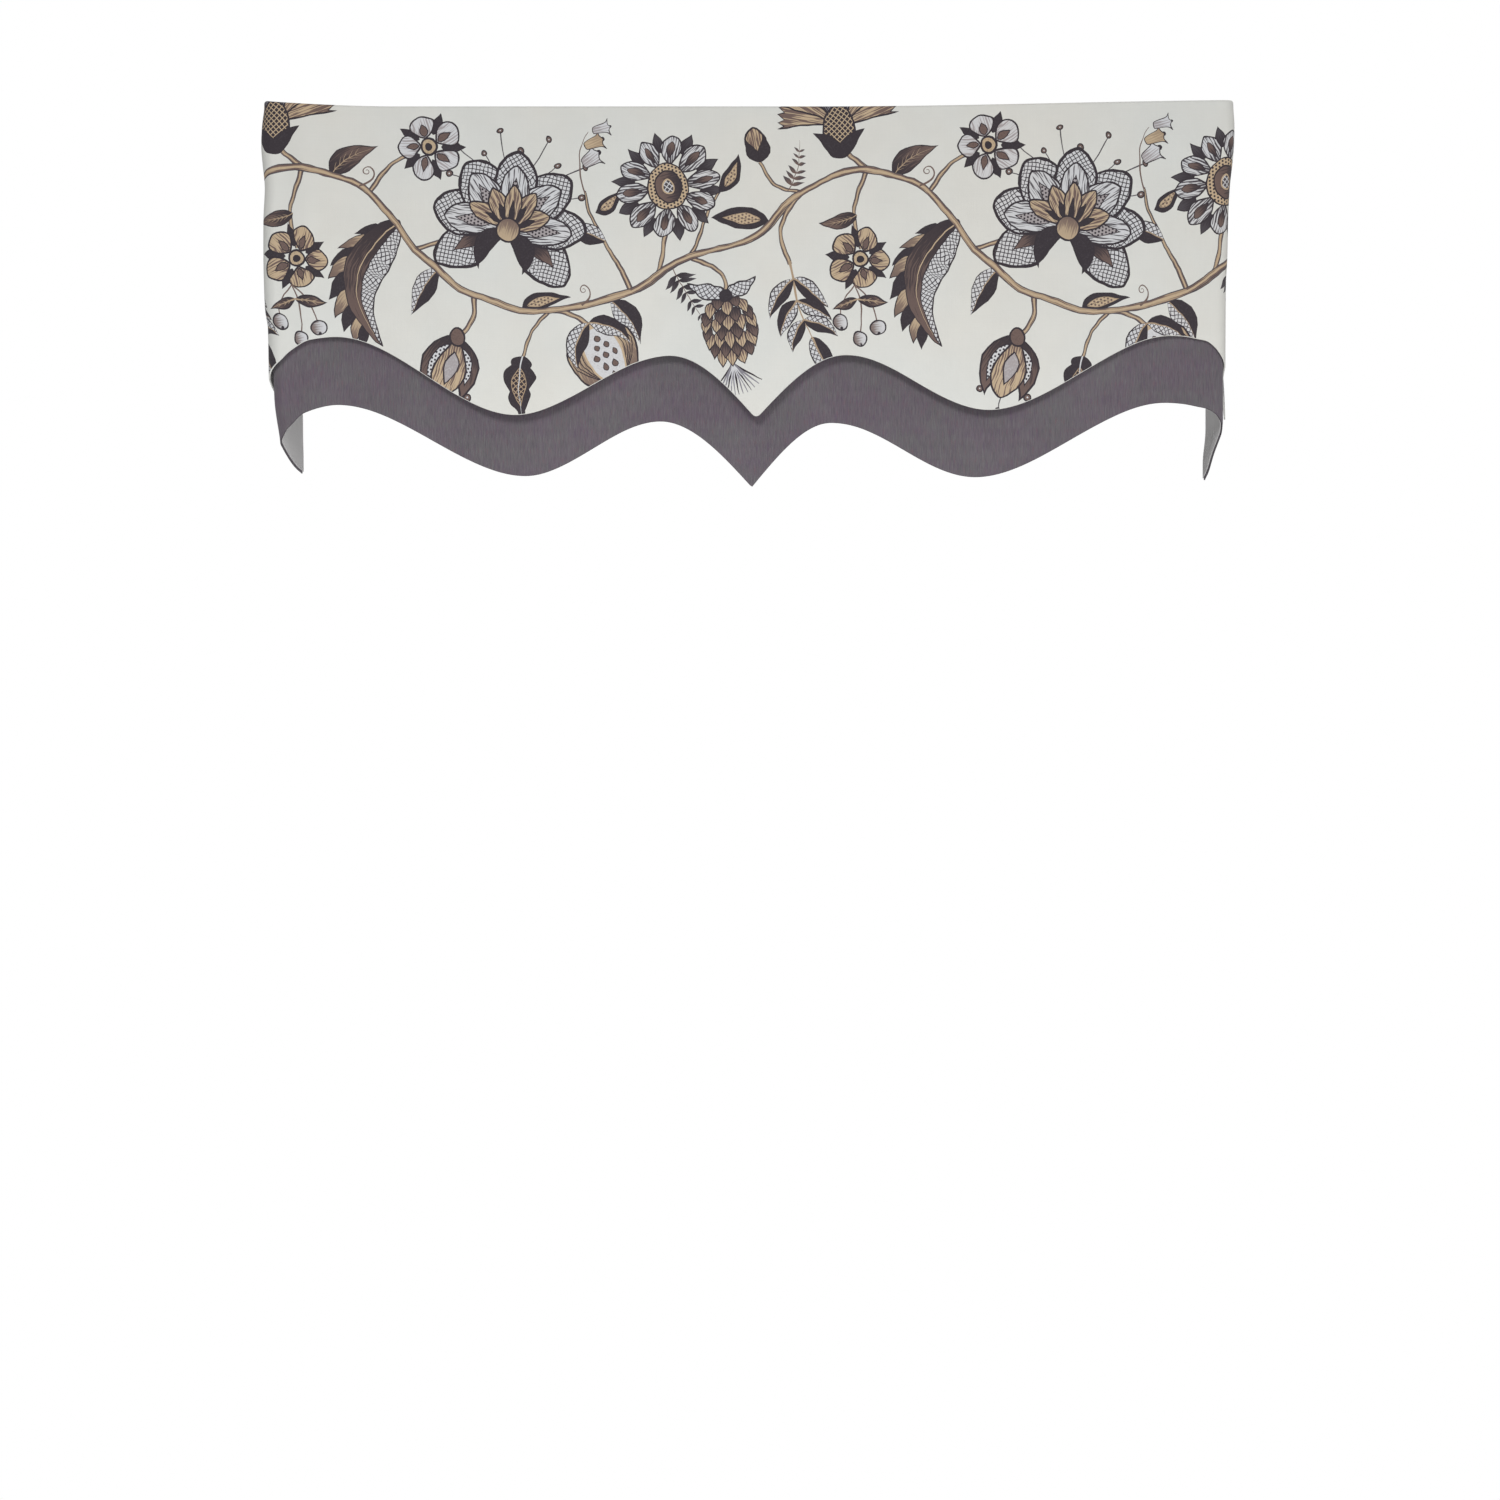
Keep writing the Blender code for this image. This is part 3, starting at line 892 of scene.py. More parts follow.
def sewn(name, outline, surface, thickness, fold=False, patches=()):
    """One cloth with its thickness and a rounded edge, printed on its right side only.

    Gives the object, each triangle's patch and each triangle's flat corners."""
    ring = outline - outwards(outline) * EDGE_ROLL
    rows = FOLD_ROWS if fold else ()
    lines = [(-HALF_FLAT - PAST_SIDES + 1j * row, HALF_FLAT + PAST_SIDES + 1j * row) for row in rows]
    for place in CORNER_PLACES:
        lines += [(side * place + PAST_HEM, side * place + PAST_TOP) for side in (-1, 1)]
    flat, triangles, _ = divided(ring, grid_points(ring, FRONT_GRID, fold), patches, lines)
    used = np.unique(triangles)
    flat, triangles = flat[used], np.searchsorted(used, triangles)
    loop = border(triangles)
    rim = flat[loop]
    direction = along_ring(ring, outwards(ring), rim)

    # Each set of points is their places on the flat cloth, their positions and normals, and how far out they are on the
    # rounded edge: first the right side, then the rings round the edge, and the wrong side last
    sets = [(flat, surface(flat.real, flat.imag, 0.0), tangents(surface, flat, 0.0)[2], np.zeros(len(flat)))]
    faces, numbers = [triangles], [topmost(flat[triangles].mean(1), patches)]
    edge = thickness / 2
    across, up, out = tangents(surface, rim, edge)
    aside = direction.real[:, None] * across + direction.imag[:, None] * up
    inner, count = loop, len(flat)
    for i in range(1, EDGE_STEPS + 1):
        sine, cosine = math.sin(math.pi * i / EDGE_STEPS), math.cos(math.pi * i / EDGE_STEPS)
        moved = rim + direction * EDGE_ROLL * sine
        normal = cosine * EDGE_ROLL * out + sine * edge * aside
        sets.append((moved, surface(moved.real, moved.imag, edge * (1 - cosine)), normal, np.full(len(rim), sine)))
        outer = count + np.arange(len(rim))
        count += len(rim)
        a, b, c, d = inner, outer, np.roll(outer, -1), np.roll(inner, -1)
        faces += [np.stack([a, b, c], 1), np.stack([a, c, d], 1)]
        numbers.append(np.zeros(2 * len(rim), int))
        inner = outer

    behind, wrong, sources = divided(rim, grid_points(rim, WRONG_SIDE_GRID, fold))
    own = np.full(len(behind), -1)
    for vertex, origins in enumerate(sources):
        on_rim = [origin for origin in origins if origin < len(rim)]
        if on_rim:
            own[vertex] = inner[on_rim[0]]
    fresh = np.flatnonzero(own < 0)
    own[fresh] = count + np.arange(len(fresh))
    inside = behind[fresh]
    normal = -tangents(surface, inside, thickness)[2]
    sets.append((inside, surface(inside.real, inside.imag, thickness), normal, np.zeros(len(inside))))
    wrong = own[wrong][:, ::-1]
    faces.append(wrong[(wrong != np.roll(wrong, 1, 1)).all(1)])
    numbers.append(np.zeros(len(faces[-1]), int))

    places, positions, normals, rolled = (np.concatenate(kind) for kind in zip(*sets))
    faces = np.concatenate(faces)
    cloth = meshed(name, positions, faces.tolist())
    cloth.data.normals_split_custom_set_from_vertices(made_unit(normals).tolist())
    cloth.data.attributes.new("edge", "FLOAT", "POINT").data.foreach_set("value", rolled.astype(np.float32))
    corners = places[faces.ravel()]
    layer = cloth.data.uv_layers.new(name="flat")
    layer.uv.foreach_set("vector", np.stack([corners.real, corners.imag], 1).astype(np.float32).ravel())
    return cloth, np.concatenate(numbers), corners


def meshed(name, positions, faces):
    mesh = bpy.data.meshes.new(name)
    mesh.from_pydata(positions.tolist(), [], faces)
    mesh.shade_smooth()
    piece = bpy.data.objects.new(name, mesh)
    bpy.context.scene.collection.objects.link(piece)
    return piece


def followed(points, spine):
    """How far along and beside a spine the points lie, in millimetres, and their share of its length."""
    steps = abs(np.diff(spine))
    starts = np.concatenate([[0], np.cumsum(steps)])
    best = np.full(points.shape, np.inf)
    along, beside = np.zeros(points.shape), np.zeros(points.shape)
    for i in range(len(steps)):
        off = (points - spine[i]) * np.conj((spine[i + 1] - spine[i]) / steps[i])
        reach = np.clip(off.real, 0 if i else -np.inf, steps[i] if i < len(steps) - 1 else np.inf)
        gap = abs(off - reach)
        closer = gap < best
        best[closer] = gap[closer]
        along[closer], beside[closer] = (starts[i] + reach)[closer], off.imag[closer]
    return along, beside, along / starts[-1]


def ink_cloth(cloth, patches, numbers, corners, palette):
    """Writes the print to the cloth's corners: each one's hatching, its two inks, and its place along the motif."""
    count = len(corners)
    hatched = np.zeros(count)
    motif = np.stack([corners.real * 1000, corners.imag * 1000, np.zeros(count)], 1)
    first = np.tile((*palette["ground"], 1.0), (count, 1))
    second = first.copy()
    order = np.argsort(numbers, kind="stable")
    bounds = np.searchsorted(numbers[order], np.arange(len(patches) + 2))
    for number, patch in enumerate(patches, 1):
        chosen = order[bounds[number] : bounds[number + 1]]
        if not len(chosen):
            continue
        at = (chosen[:, None] * 3 + np.arange(3)).ravel()
        hatched[at] = patch.fill
        first[at], second[at] = (*palette[patch.ink], 1.0), (*palette[patch.second], 1.0)
        motif[at] = np.stack(followed(corners[at] * 1000, patch.spine), 1)
    for name, kind, key, values in (
        ("hatching", "FLOAT", "value", hatched),
        ("motif", "FLOAT_VECTOR", "vector", motif),
        ("first_ink", "FLOAT_COLOR", "color", first),
        ("second_ink", "FLOAT_COLOR", "color", second),
    ):
        cloth.data.attributes.new(name, kind, "CORNER").data.foreach_set(key, values.astype(np.float32).ravel())


# Finishes
THREADS = {"printed": 0.00055, "slub": 0.0007, "lining": 0.0004}  # from one thread of a weave to the next
THREAD_TWIST = 6000.0  # how fast the plies of the sewing thread turn along it
NET_PITCH = 6.2  # in millimetres, as is the next
DOT_PITCH = 3.9


def reckoned(operation, swapped=False):
    """A way to reckon with a value and another one, or a number."""

    def reckon(self, other):
        return maths(operation, other, self) if swapped else maths(operation, self, other)

    return reckon


class Value:
    """What a node puts out. It can be reckoned with as a number can, which adds the nodes that do so."""

    __add__, __sub__, __rsub__ = reckoned("ADD"), reckoned("SUBTRACT"), reckoned("SUBTRACT", True)
    __mul__, __truediv__, __mod__ = reckoned("MULTIPLY"), reckoned("DIVIDE"), reckoned("MODULO")

    def __init__(self, socket):
        self.socket = socket
        self.tree = socket.id_data

    def __abs__(self):
        return maths("ABSOLUTE", self)


def put(socket, value):
    """Gives a socket a number or a colour, or links it to a value."""
    if isinstance(value, Value):
        value.tree.links.new(value.socket, socket)
    else:
        socket.default_value = value


def node(tree, kind, inputs=(), **settings):
    """A new node with its settings. inputs gives numbers, colours or values, by name or number."""
    made = tree.nodes.new(kind)
    for name, value in settings.items():
        setattr(made, name, value)
    for key, value in dict(inputs).items():
        put(made.inputs[key], value)
    return made


def joined(kind, inputs, output=0, **settings):
    """What a new node puts out, in the tree of the values that it takes in."""
    tree = next(value.tree for value in inputs.values() if isinstance(value, Value))
    return Value(node(tree, kind, inputs, **settings).outputs[output])


def maths(operation, *values, clamp=False):
    return joined("ShaderNodeMath", dict(enumerate(values)), operation=operation, use_clamp=clamp)


def vector(x, y, z=0.0):
    return joined("ShaderNodeCombineXYZ", {0: x, 1: y, 2: z})


def parts(value):
    return [Value(output) for output in node(value.tree, "ShaderNodeSeparateXYZ", {0: value}).outputs]


def noise(at, scale=1.0, detail=2.0, roughness=0.5):
    inputs = {"Vector": at, "Scale": scale, "Detail": detail, "Roughness": roughness}
    return joined("ShaderNodeTexNoise", inputs, "Fac")


def step(value, start, end, low=0.0, high=1.0):
    """A soft step from low to high as the value goes from start to end."""
    inputs = dict(enumerate((value, start, end, low, high)))
    return joined("ShaderNodeMapRange", inputs, interpolation_type="SMOOTHSTEP")


def blended(tree, share, first, second, kind="MIX"):
    made = node(tree, "ShaderNodeMix", data_type="RGBA", blend_type=kind)
    sockets = {s.name + s.type: s for s in made.inputs}
    for key, value in (("FactorVALUE", share), ("ARGBA", first), ("BRGBA", second)):
        put(sockets[key], value)
    return Value(next(s for s in made.outputs if s.type == "RGBA"))


def shaded(colour, red, green=None, blue=None):
    """The colour, with its channels multiplied by values that change over the surface."""
    factors = joined("ShaderNodeCombineColor", {0: red, 1: green or red, 2: blue or red})
    return blended(red.tree, 1.0, colour, factors, "MULTIPLY")


def shared(name, inputs, outputs):
    """Makes a node group of what a function adds, built once. An input's default is a number, or None for a vector."""

    def build(make):
        tree = bpy.data.node_groups.new(name, "ShaderNodeTree")
        for label, value in inputs.items():
            kind = "NodeSocketVector" if value is None else "NodeSocketFloat"
            socket = tree.interface.new_socket(label, in_out="INPUT", socket_type=kind)
            if value is not None:
                socket.default_value = value
        for label in outputs:
            tree.interface.new_socket(label, in_out="OUTPUT", socket_type="NodeSocketFloat")
        given = tree.nodes.new("NodeGroupInput").outputs
        results = make(*(Value(given[label]) for label in inputs))
        out = tree.nodes.new("NodeGroupOutput")
        for label, value in zip(outputs, results):
            put(out.inputs[label], value)

    def used(make):
        def use(tree, *values):
            if name not in bpy.data.node_groups:
                build(make)
            made = node(tree, "ShaderNodeGroup", node_tree=bpy.data.node_groups[name])
            for label, value in zip(inputs, values):
                put(made.inputs[label], value)
            found = [Value(made.outputs[label]) for label in outputs]
            return found if len(found) > 1 else found[0]

        return use

    return used


@shared("plain_weave", {"Flat": None, "Thread": 0.0005}, ("Height", "Uneven", "Threads"))
def weave(flat, thread):
    """A plain weave: threads that pass over and under each other, a little uneven in thickness."""
    x, y, _ = parts(flat)
    across, up = x / thread, y / thread
    shift = (noise(vector(across * 0.06, up * 0.06)) - 0.5) * 1.2
    crossing = maths("SINE", (across + shift) * math.pi) * maths("SINE", (up + shift) * math.pi)
    threads = noise(vector(across * 0.5, up * 0.012), detail=1.0)
    wefts = noise(vector(across * 0.012, up * 0.5, 7.0), detail=1.0)
    return crossing * 0.5 + 0.5, (threads + wefts) * 0.5, threads


@shared("upright_slubs", {"Flat": None, "Width": 0.001, "Length": 0.03, "From": 0.5, "Seed": 0.0}, ("Mask",))
def slubs(flat, width, length, start, seed):
    """Thick places in upright threads: narrow streaks that start and end softly."""
    x, y, _ = parts(flat)
    return [step(noise(vector(x / width, y / length, seed), 1.0, 1.0, 0.4), start, start + 0.16)]


@shared("mottling", {"Flat": None, "Scale": 30.0, "Amount": 0.03}, ("Factor",))
def mottling(flat, scale, amount):
    """Broad, faint unevenness, as a factor to multiply a colour by."""
    return [step(noise(flat, scale, 3.0, 0.55), 0.3, 0.7, 1.0 - amount, amount + 1.0)]


@shared("hatching", {"Hatching": 0.0, "Motif": None}, ("Share",))
def hatching(chosen, motif):
    """How much of a motif's second ink shows at a point, for each kind of hatching."""
    along, beside, share = parts(motif)
    fine = noise(motif, 0.5, 3.0, 0.6)

    def lines(slow, close, spread, limit):
        found = noise(vector(along * slow, beside * close), detail=1.5)
        return step(found, limit - spread, limit + spread)

    def off_middle(value):
        return maths("FRACT", value) - 0.5

    plain = step(fine, 0.45, 0.75, 0.0, 0.45)
    engraved = lines(0.05, 0.62, 0.09, share * -0.62 + 0.80)
    shade = maths("MULTIPLY", share + (fine - 0.5) * 0.4 + engraved, 0.5, clamp=True)
    streak = lines(0.035, 0.60, 0.035, share * 0.16 + 0.42)
    leaning = [step(abs(off_middle(at / NET_PITCH)), 0.36, 0.42) for at in (along + beside, along - beside)]
    net = 1.0 - maths("MAXIMUM", *leaning)
    row = along / DOT_PITCH
    across, up = off_middle(row), off_middle(beside / DOT_PITCH + maths("FLOOR", row) % 2.0 * 0.5)
    dots = 1.0 - step(maths("SQRT", across * across + up * up), 0.25, 0.36)
    total = 0.0
    for kind, mask in ((PLAIN, plain), (SHADE, shade), (STREAK, streak), (NET, net), (DOTS, dots)):
        total = maths("COMPARE", chosen, float(kind), 0.3) * mask + total
    return [total]


def flat_place(tree):
    return Value(node(tree, "ShaderNodeUVMap", uv_map="flat").outputs[0])


def object_place(tree):
    return Value(node(tree, "ShaderNodeTexCoord").outputs["Object"])


def written(tree, name, output="Fac"):
    """What the cloth's mesh holds under a name."""
    return Value(node(tree, "ShaderNodeAttribute", attribute_name=name, attribute_type="GEOMETRY").outputs[output])


def new_material(name, make):
    """A new material. make adds its nodes and gives the shader's inputs."""
    material = bpy.data.materials.new(name)
    material.use_nodes = True
    shader = material.node_tree.nodes["Principled BSDF"]
    for label, value in make(material.node_tree).items():
        put(shader.inputs[label], value)
    return material


def cloth_finish(colour, roughness, height, distance, sheen, sheen_tint=(1.0, 1.0, 1.0)):
    """The shader's inputs for a cloth, whose threads stand out by a distance times the height."""
    return {
        "Base Color": colour,
        "Roughness": roughness,
        "Normal": joined("ShaderNodeBump", {"Height": height, "Distance": distance, "Strength": 1.0}),
        "Sheen Weight": sheen,
        "Sheen Roughness": 0.5,
        "Sheen Tint": (*sheen_tint, 1.0),
        "Specular IOR Level": 0.25,
    }


def printed_cotton(tree):
    """Matt inks on a fine plain weave."""
    flat = flat_place(tree)
    share = hatching(tree, written(tree, "hatching"), written(tree, "motif", "Vector"))
    ink = blended(tree, share, *(written(tree, name, "Color") for name in ("first_ink", "second_ink")))
    height, uneven, _ = weave(tree, flat, THREADS["printed"])
    warmth = mottling(tree, flat, 5.0, 0.014)
    factor = step(uneven, 0.35, 0.65, 0.99, 1.006) * mottling(tree, flat, 26.0, 0.012)
    colour = shaded(ink, factor * warmth, factor, factor * (2.0 - warmth))
    roughness = step(uneven, 0.3, 0.7, 0.80, 0.90)
    return cloth_finish(colour, roughness, uneven * 1.2 + height, distance=0.00006, sheen=0.12)


def slub_material(colours):
    """A dark slub cloth with upright streaks of paler and redder thread, and painted shade darkening its rolled edge.
    """
    streaks = (  # colour, width, length, where they start to show, seed and strength
        ("dark", 0.0010, 0.013, 0.50, 3.0, 0.45),
        ("grey", 0.0009, 0.016, 0.50, 11.0, 0.50),
        ("violet", 0.0012, 0.018, 0.55, 23.0, 0.65),
        ("rose", 0.0009, 0.011, 0.58, 37.0, 0.70),
    )

    def make(tree):
        flat = flat_place(tree)
        colour, masks = (*colours["base"], 1.0), []
        for name, width, length, start, seed, strength in streaks:
            masks.append(slubs(tree, flat, width, length, start, seed))
            colour = blended(tree, masks[-1] * strength, colour, (*colours[name], 1.0))
        height, _, threads = weave(tree, flat, THREADS["slub"])
        factor = step(threads, 0.3, 0.7, 0.96, 1.04) * mottling(tree, flat, 14.0, 0.04)
        # Painted shade: the rolled edge is darkened to about a third, standing in for the shadow along the turned hem.
        factor = factor * step(written(tree, "edge"), 0.0, 0.8, 1.0, 0.35)
        colour = shaded(colour, factor, factor * mottling(tree, flat, 22.0, 0.06))
        roughness = step(masks[1], 0.0, 1.0, 0.82, 0.70)
        height = (masks[0] + masks[1]) * 1.4 + height
        return cloth_finish(colour, roughness, height, distance=0.00008, sheen=0.20, sheen_tint=(0.80, 0.76, 0.84))

    return new_material("slub_cloth", make)


def lining_material(colour):
    """A plain pale sateen."""

    def make(tree):
        flat = flat_place(tree)
        height, uneven, _ = weave(tree, flat, THREADS["lining"])
        factor = step(uneven, 0.35, 0.65, 0.96, 1.02) * mottling(tree, flat, 18.0, 0.02)
        roughness = step(uneven, 0.3, 0.7, 0.68, 0.78)
        colours = shaded((*colour, 1.0), factor)
        return cloth_finish(colours, roughness, uneven + height, distance=0.00004, sheen=0.10)

    return new_material("pale_sateen", make)


def thread_material(colour):
    """Sewing thread: two twisted plies."""

    def make(tree):
        x, _, z = parts(object_place(tree))
        ply = maths("SINE", (x + z) * THREAD_TWIST)
        # Painted shade: the thread is darker in the grooves between its plies, with a faint painted highlight on their
        # crowns.
        shade = step(ply, -1.0, 1.0, 0.75, 1.05)
        return cloth_finish(shaded((*colour, 1.0), shade), 0.6, ply, distance=0.00003, sheen=0.15)

    return new_material("sewing_thread", make)


def floor_material(colour):
    def make(tree):
        shade = step(noise(object_place(tree), 3.0, 3.0), 0.3, 0.7, 0.98, 1.0)
        return {"Base Color": shaded((*colour, 1.0), shade), "Roughness": 0.8}

    return new_material("pale_floor", make)


# The add-on


def number(name, description, value, low=0.0, unit="NONE"):
    return bpy.props.FloatProperty(name=name, description=description, default=value, min=low, unit=unit)


def colour(name, description, value):
    return bpy.props.FloatVectorProperty(
        name=name, description=description, subtype="COLOR", size=3, min=0.0, max=1.0, default=value
    )


class ClothSizes(bpy.types.PropertyGroup):
    """The cloths."""

    print_repeat: number("Print repeat", "Width after which the print repeats", 0.635, 0.3, "LENGTH")
    stitch_length: number("Stitch length", "Length of one stitch of the turned hem", 0.0028, 0.001, "LENGTH")
    stitch_gap: number("Stitch gap", "Room between two stitches", 0.0010, 0.0002, "LENGTH")
    thread: number("Thread", "Thickness of the sewing thread", 0.00045, 0.0001, "LENGTH")


class ClothColours(bpy.types.PropertyGroup):
    """The colours of the inks, cloths and thread."""

    ground: colour("Ground", "Unprinted face cloth", (0.697, 0.697, 0.660))
    black: colour("Black ink", "Outlines and dark leaves", (0.040, 0.032, 0.039))
    charcoal: colour("Charcoal ink", "Soft dark shading", (0.078, 0.068, 0.078))
    brown: colour("Brown ink", "Brown leaves and petals", (0.165, 0.112, 0.098))
    tan: colour("Tan ink", "Stems and veins", (0.400, 0.295, 0.200))
    gold: colour("Gold ink", "Light parts of stems and seeds", (0.530, 0.405, 0.270))
    lilac: colour("Lilac ink", "Shading of the pale petals", (0.380, 0.345, 0.350))
    grey: colour("Grey ink", "Lines of the netting", (0.240, 0.230, 0.260))
    white: colour("White ink", "Pale petals", (0.630, 0.632, 0.645))
    slub_base: colour("Slub cloth", "Main colour of the plain panel", (0.128, 0.111, 0.128))
    slub_dark: colour("Dark slubs", "Darkest threads of the plain panel", (0.082, 0.075, 0.089))
    slub_grey: colour("Grey slubs", "Palest threads of the plain panel", (0.155, 0.148, 0.156))
    slub_violet: colour("Violet slubs", "Violet threads of the plain panel", (0.110, 0.081, 0.119))
    slub_rose: colour("Rose slubs", "Reddest threads of the plain panel", (0.155, 0.097, 0.116))
    lining: colour("Lining", "Pale lining", (0.530, 0.520, 0.520))
    thread: colour("Thread", "Sewing thread", (0.620, 0.600, 0.550))


class StageSettings(bpy.types.PropertyGroup):
    """The floor, the lights and the camera."""

    floor_height: number("Floor height", "Height of the floor", -1.9, -10.0, "LENGTH")
    floor_colour: colour("Floor", "Pale floor", (0.80, 0.80, 0.80))
    key_power: number("Key light", "Strength of the upper front light", 1.37)
    side_power: number("Side light", "Strength of the softer light from the right", 0.86)
    fill_power: number("Fill light", "Power of the lower front light in watts", 13.5)
    back_power: number("Back light", "Strength of the light behind", 0.8)
    surround: number("Surround", "Light from all round", 0.20)
    lens: number("Lens", "Focal length in millimetres", 42.2, 10.0)


class ValanceSettings(bpy.types.PropertyGroup):
    """Everything that a user would change."""

    cloth: bpy.props.PointerProperty(type=ClothSizes)
    colours: bpy.props.PointerProperty(type=ClothColours)
    stage: bpy.props.PointerProperty(type=StageSettings)


def deselect_all():
    for piece in bpy.context.selected_objects:
        piece.select_set(False)


class HangLining(bpy.types.Operator):
    """Hangs the lining behind the slub panel"""

    bl_idname = "valance.hang_lining"
    bl_label = "Hang the lining"

    def execute(self, context):
        outline = cut(lining_hem, -INNER_TOP)
        lining, _, _ = sewn("back_lining", outline, inner_surface(LINING_INSET), LINING_CLOTH)
        lining.data.materials.append(lining_material(context.scene.valance.colours.lining))
        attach(lining, "root")
        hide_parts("lining")
        return {"FINISHED"}


class HangPlainPanel(bpy.types.Operator):
    """Hangs the longer slub panel behind the face panel"""

    bl_idname = "valance.hang_plain_panel"
    bl_label = "Hang the slub panel"

    def execute(self, context):
        outline = cut(plain_hem, -INNER_TOP)
        panel, _, _ = sewn("slub_panel", outline, inner_surface(PLAIN_INSET), PLAIN_CLOTH)
        chosen = context.scene.valance.colours
        colours = {name: getattr(chosen, "slub_" + name) for name in ("base", "dark", "grey", "violet", "rose")}
        panel.data.materials.append(slub_material(colours))
        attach(panel, "root")
        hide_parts("plain_panel")
        return {"FINISHED"}


class HangFacePanel(bpy.types.Operator):
    """Hangs the printed face panel, turned over the top to the back, and stitches its turned hem"""

    bl_idname = "valance.hang_face_panel"
    bl_label = "Hang the printed face panel"

    def execute(self, context):
        settings = context.scene.valance
        repeat = settings.cloth.print_repeat * 1000
        size = round(repeat / REPEAT, 4)
        one = placed(repeat_unit(), size=size)
        first = -math.ceil(HALF_FLAT * 1000 / repeat + 0.2)
        patches = []
        for i in range(first, 1 - first):
            above = [p for p in placed(one, i * repeat + NEXT_ROW * size) if p.outline.imag.min() < FACE_TOP * 1000]
            patches += placed(one, i * repeat) + above
        outline = cut(face_hem, FACE_TOP, FOLD_RADIUS)
        panel, numbers, corners = sewn("printed_panel", outline, face_surface, FACE_CLOTH, True, patches)
        names = ("ground", "black", "charcoal", "brown", "tan", "gold", "lilac", "grey", "white")
        ink_cloth(panel, patches, numbers, corners, {name: getattr(settings.colours, name) for name in names})
        panel.data.materials.append(new_material("printed_cotton", printed_cotton))
        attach(panel, "root")
        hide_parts("face_panel")
        stitches = self.stitch_hem(settings)
        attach(stitches, "root")
        long = FACE_DROP - FOLD_RADIUS + FACE_TOP
        return {"FINISHED"}

    def stitch_hem(self, settings):
        """A row of stitches just above the turned hem's edge, each a copy of one bead of thread."""
        sizes = settings.cloth
        deselect_all()
        bpy.ops.mesh.primitive_uv_sphere_add(segments=8, ring_count=6, radius=0.5)
        bead = bpy.context.active_object
        x, y, z = np.array([v.co for v in bead.data.vertices]).T
        bead_faces = sorted(list(p.vertices) for p in bead.data.polygons)
        bpy.data.objects.remove(bead)
        pitch = sizes.stitch_length + sizes.stitch_gap
        count = int((FLAT_WIDTH - 2 * STITCH_MARGIN) / pitch)
        along = np.sign(z) * abs(z * 2) ** STITCH_BLUNT * 0.5 * sizes.stitch_length
        height, depth = FACE_TOP - STITCH_ROW + x * sizes.thread, -y * sizes.thread * STITCH_FLAT
        positions, faces = [], []
        for i in range(count):
            positions.append(face_surface((i - (count - 1) / 2) * pitch + along, height, depth))
            faces += [[v + i * len(x) for v in face] for face in bead_faces]
        stitches = meshed("top_hem_stitches", np.concatenate(positions), faces)
        shaped = bmesh.new()
        shaped.from_mesh(stitches.data)
        bmesh.ops.recalc_face_normals(shaped, faces=shaped.faces)
        shaped.to_mesh(stitches.data)
        shaped.free()
        stitches.data.materials.append(thread_material(settings.colours.thread))
        return stitches


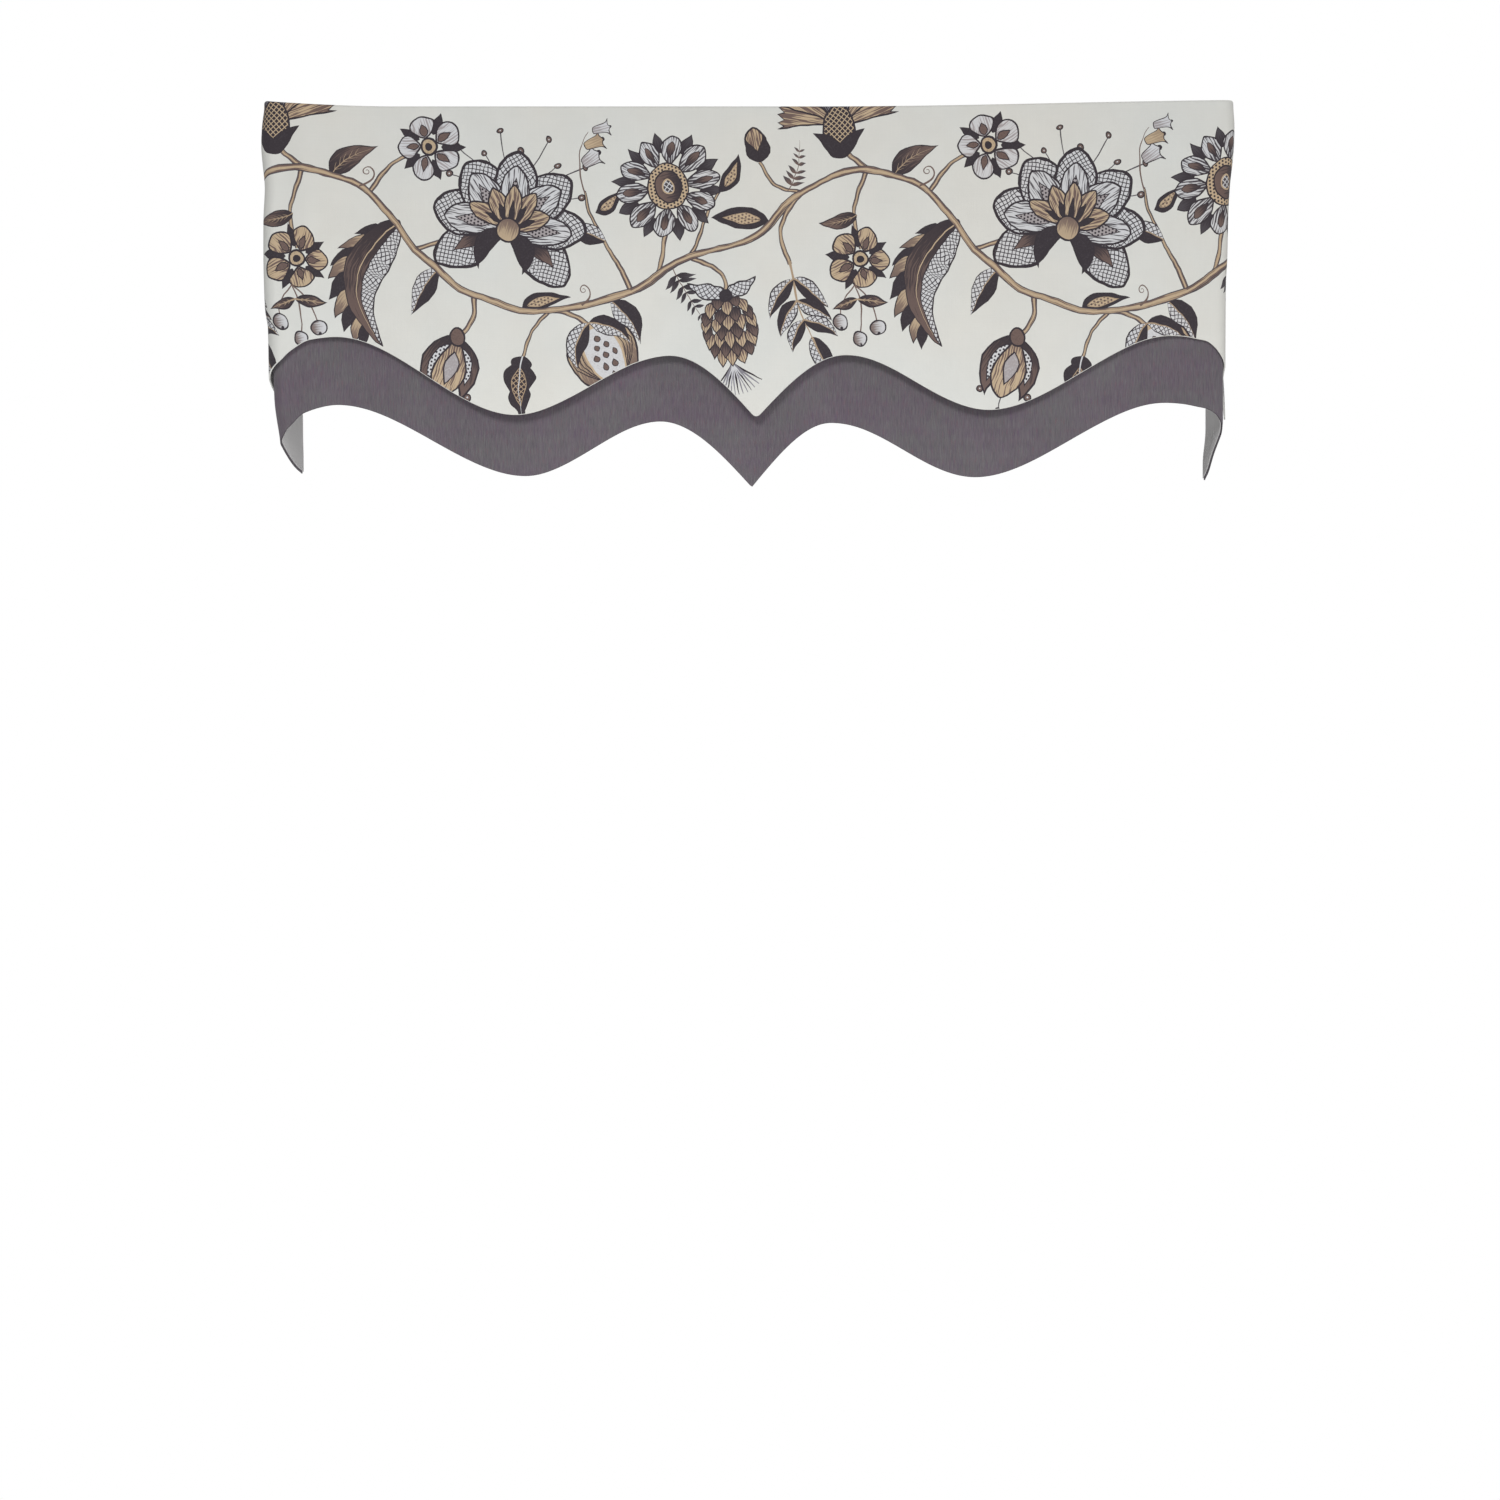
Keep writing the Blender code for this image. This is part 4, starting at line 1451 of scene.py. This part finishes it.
class SetStage(bpy.types.Operator):
    """Sets the pale floor, the soft lights and the camera"""

    bl_idname = "valance.set_stage"
    bl_label = "Set the stage"

    def execute(self, context):
        scene = context.scene
        stage = scene.valance.stage
        scene.view_settings.view_transform = "Standard"
        deselect_all()
        bpy.ops.mesh.primitive_plane_add(size=FLOOR["size"], location=(*FLOOR["middle"], stage.floor_height))
        floor = bpy.context.active_object
        floor.name = "floor"
        floor.data.materials.append(floor_material(stage.floor_colour))
        for name, (place, degrees) in SUNS.items():
            sun = self.light(name + "_light", "SUN", place, getattr(stage, name + "_power"))
            sun.angle = math.radians(degrees)
        fill = self.light("fill_light", "AREA", FILL["place"], stage.fill_power)
        fill.shape = "RECTANGLE"
        fill.size, fill.size_y = FILL["size"]
        self.surround(scene, stage.surround)
        bpy.ops.object.camera_add(location=CAMERA_PLACE, rotation=(math.pi / 2, 0.0, 0.0))
        camera = bpy.context.active_object
        camera.name = "front_camera"
        camera.data.lens = stage.lens
        camera.data.sensor_width = 36.0
        scene.camera = camera
        return {"FINISHED"}

    def light(self, name, kind, place, power):
        bpy.ops.object.light_add(type=kind, location=place)
        lamp = bpy.context.active_object
        lamp.name = name
        lamp.data.energy = power
        lamp.rotation_euler = (Vector(LIT_PLACE) - Vector(place)).to_track_quat("-Z", "Y").to_euler()
        return lamp.data

    def surround(self, scene, strength):
        """A white surround that is seen at full brightness and lights the pieces more gently."""
        world = bpy.data.worlds.new("white_surround")
        scene.world = world
        world.use_nodes = True
        background = world.node_tree.nodes["Background"]
        put(background.inputs["Color"], (1.0, 1.0, 1.0, 1.0))
        seen = Value(node(world.node_tree, "ShaderNodeLightPath").outputs["Is Camera Ray"])
        put(background.inputs["Strength"], seen * (1.0 - strength) + strength)


class ValancePanel(bpy.types.Panel):
    """The valance's settings and steps"""

    bl_idname = "VALANCE_PT_steps"
    bl_label = "Window valance"
    bl_space_type = "VIEW_3D"
    bl_region_type = "UI"
    bl_category = "Valance"

    def draw(self, context):
        settings = context.scene.valance
        for group_name in ("cloth", "colours", "stage"):
            box = self.layout.box()
            chosen = getattr(settings, group_name)
            for name in chosen.bl_rna.properties.keys():
                if name not in ("rna_type", "name"):
                    box.prop(chosen, name)
        for step_class in STEPS:
            self.layout.operator(step_class.bl_idname)


STEPS = (HangLining, HangPlainPanel, HangFacePanel, SetStage)
CLASSES = (ClothSizes, ClothColours, StageSettings, ValanceSettings, *STEPS, ValancePanel)


def register():
    for made in CLASSES:
        bpy.utils.register_class(made)
    bpy.types.Scene.valance = bpy.props.PointerProperty(type=ValanceSettings)


def unregister():
    del bpy.types.Scene.valance
    for made in reversed(CLASSES):
        bpy.utils.unregister_class(made)


def flat_area(hem, top):
    """The area of a flat cloth between its hem and a level top, added up millimetre by millimetre."""
    across = np.linspace(-HALF_FLAT, HALF_FLAT, round(FLAT_WIDTH * 1000) + 1)
    drops = hem(across)
    return float(np.sum((drops[1:] + drops[:-1]) / 2 * np.diff(across)) + top * FLAT_WIDTH)


LINING_AREA = flat_area(lining_hem, -INNER_TOP)
PLAIN_AREA = flat_area(plain_hem, -INNER_TOP)
FACE_AREA = flat_area(face_hem, FACE_TOP - FOLD_RADIUS)


def main():
    register()
    for step_class in STEPS:
        group_name, operator = step_class.bl_idname.split(".")
        getattr(getattr(bpy.ops, group_name), operator)()


if __name__ == "__main__":
    main()
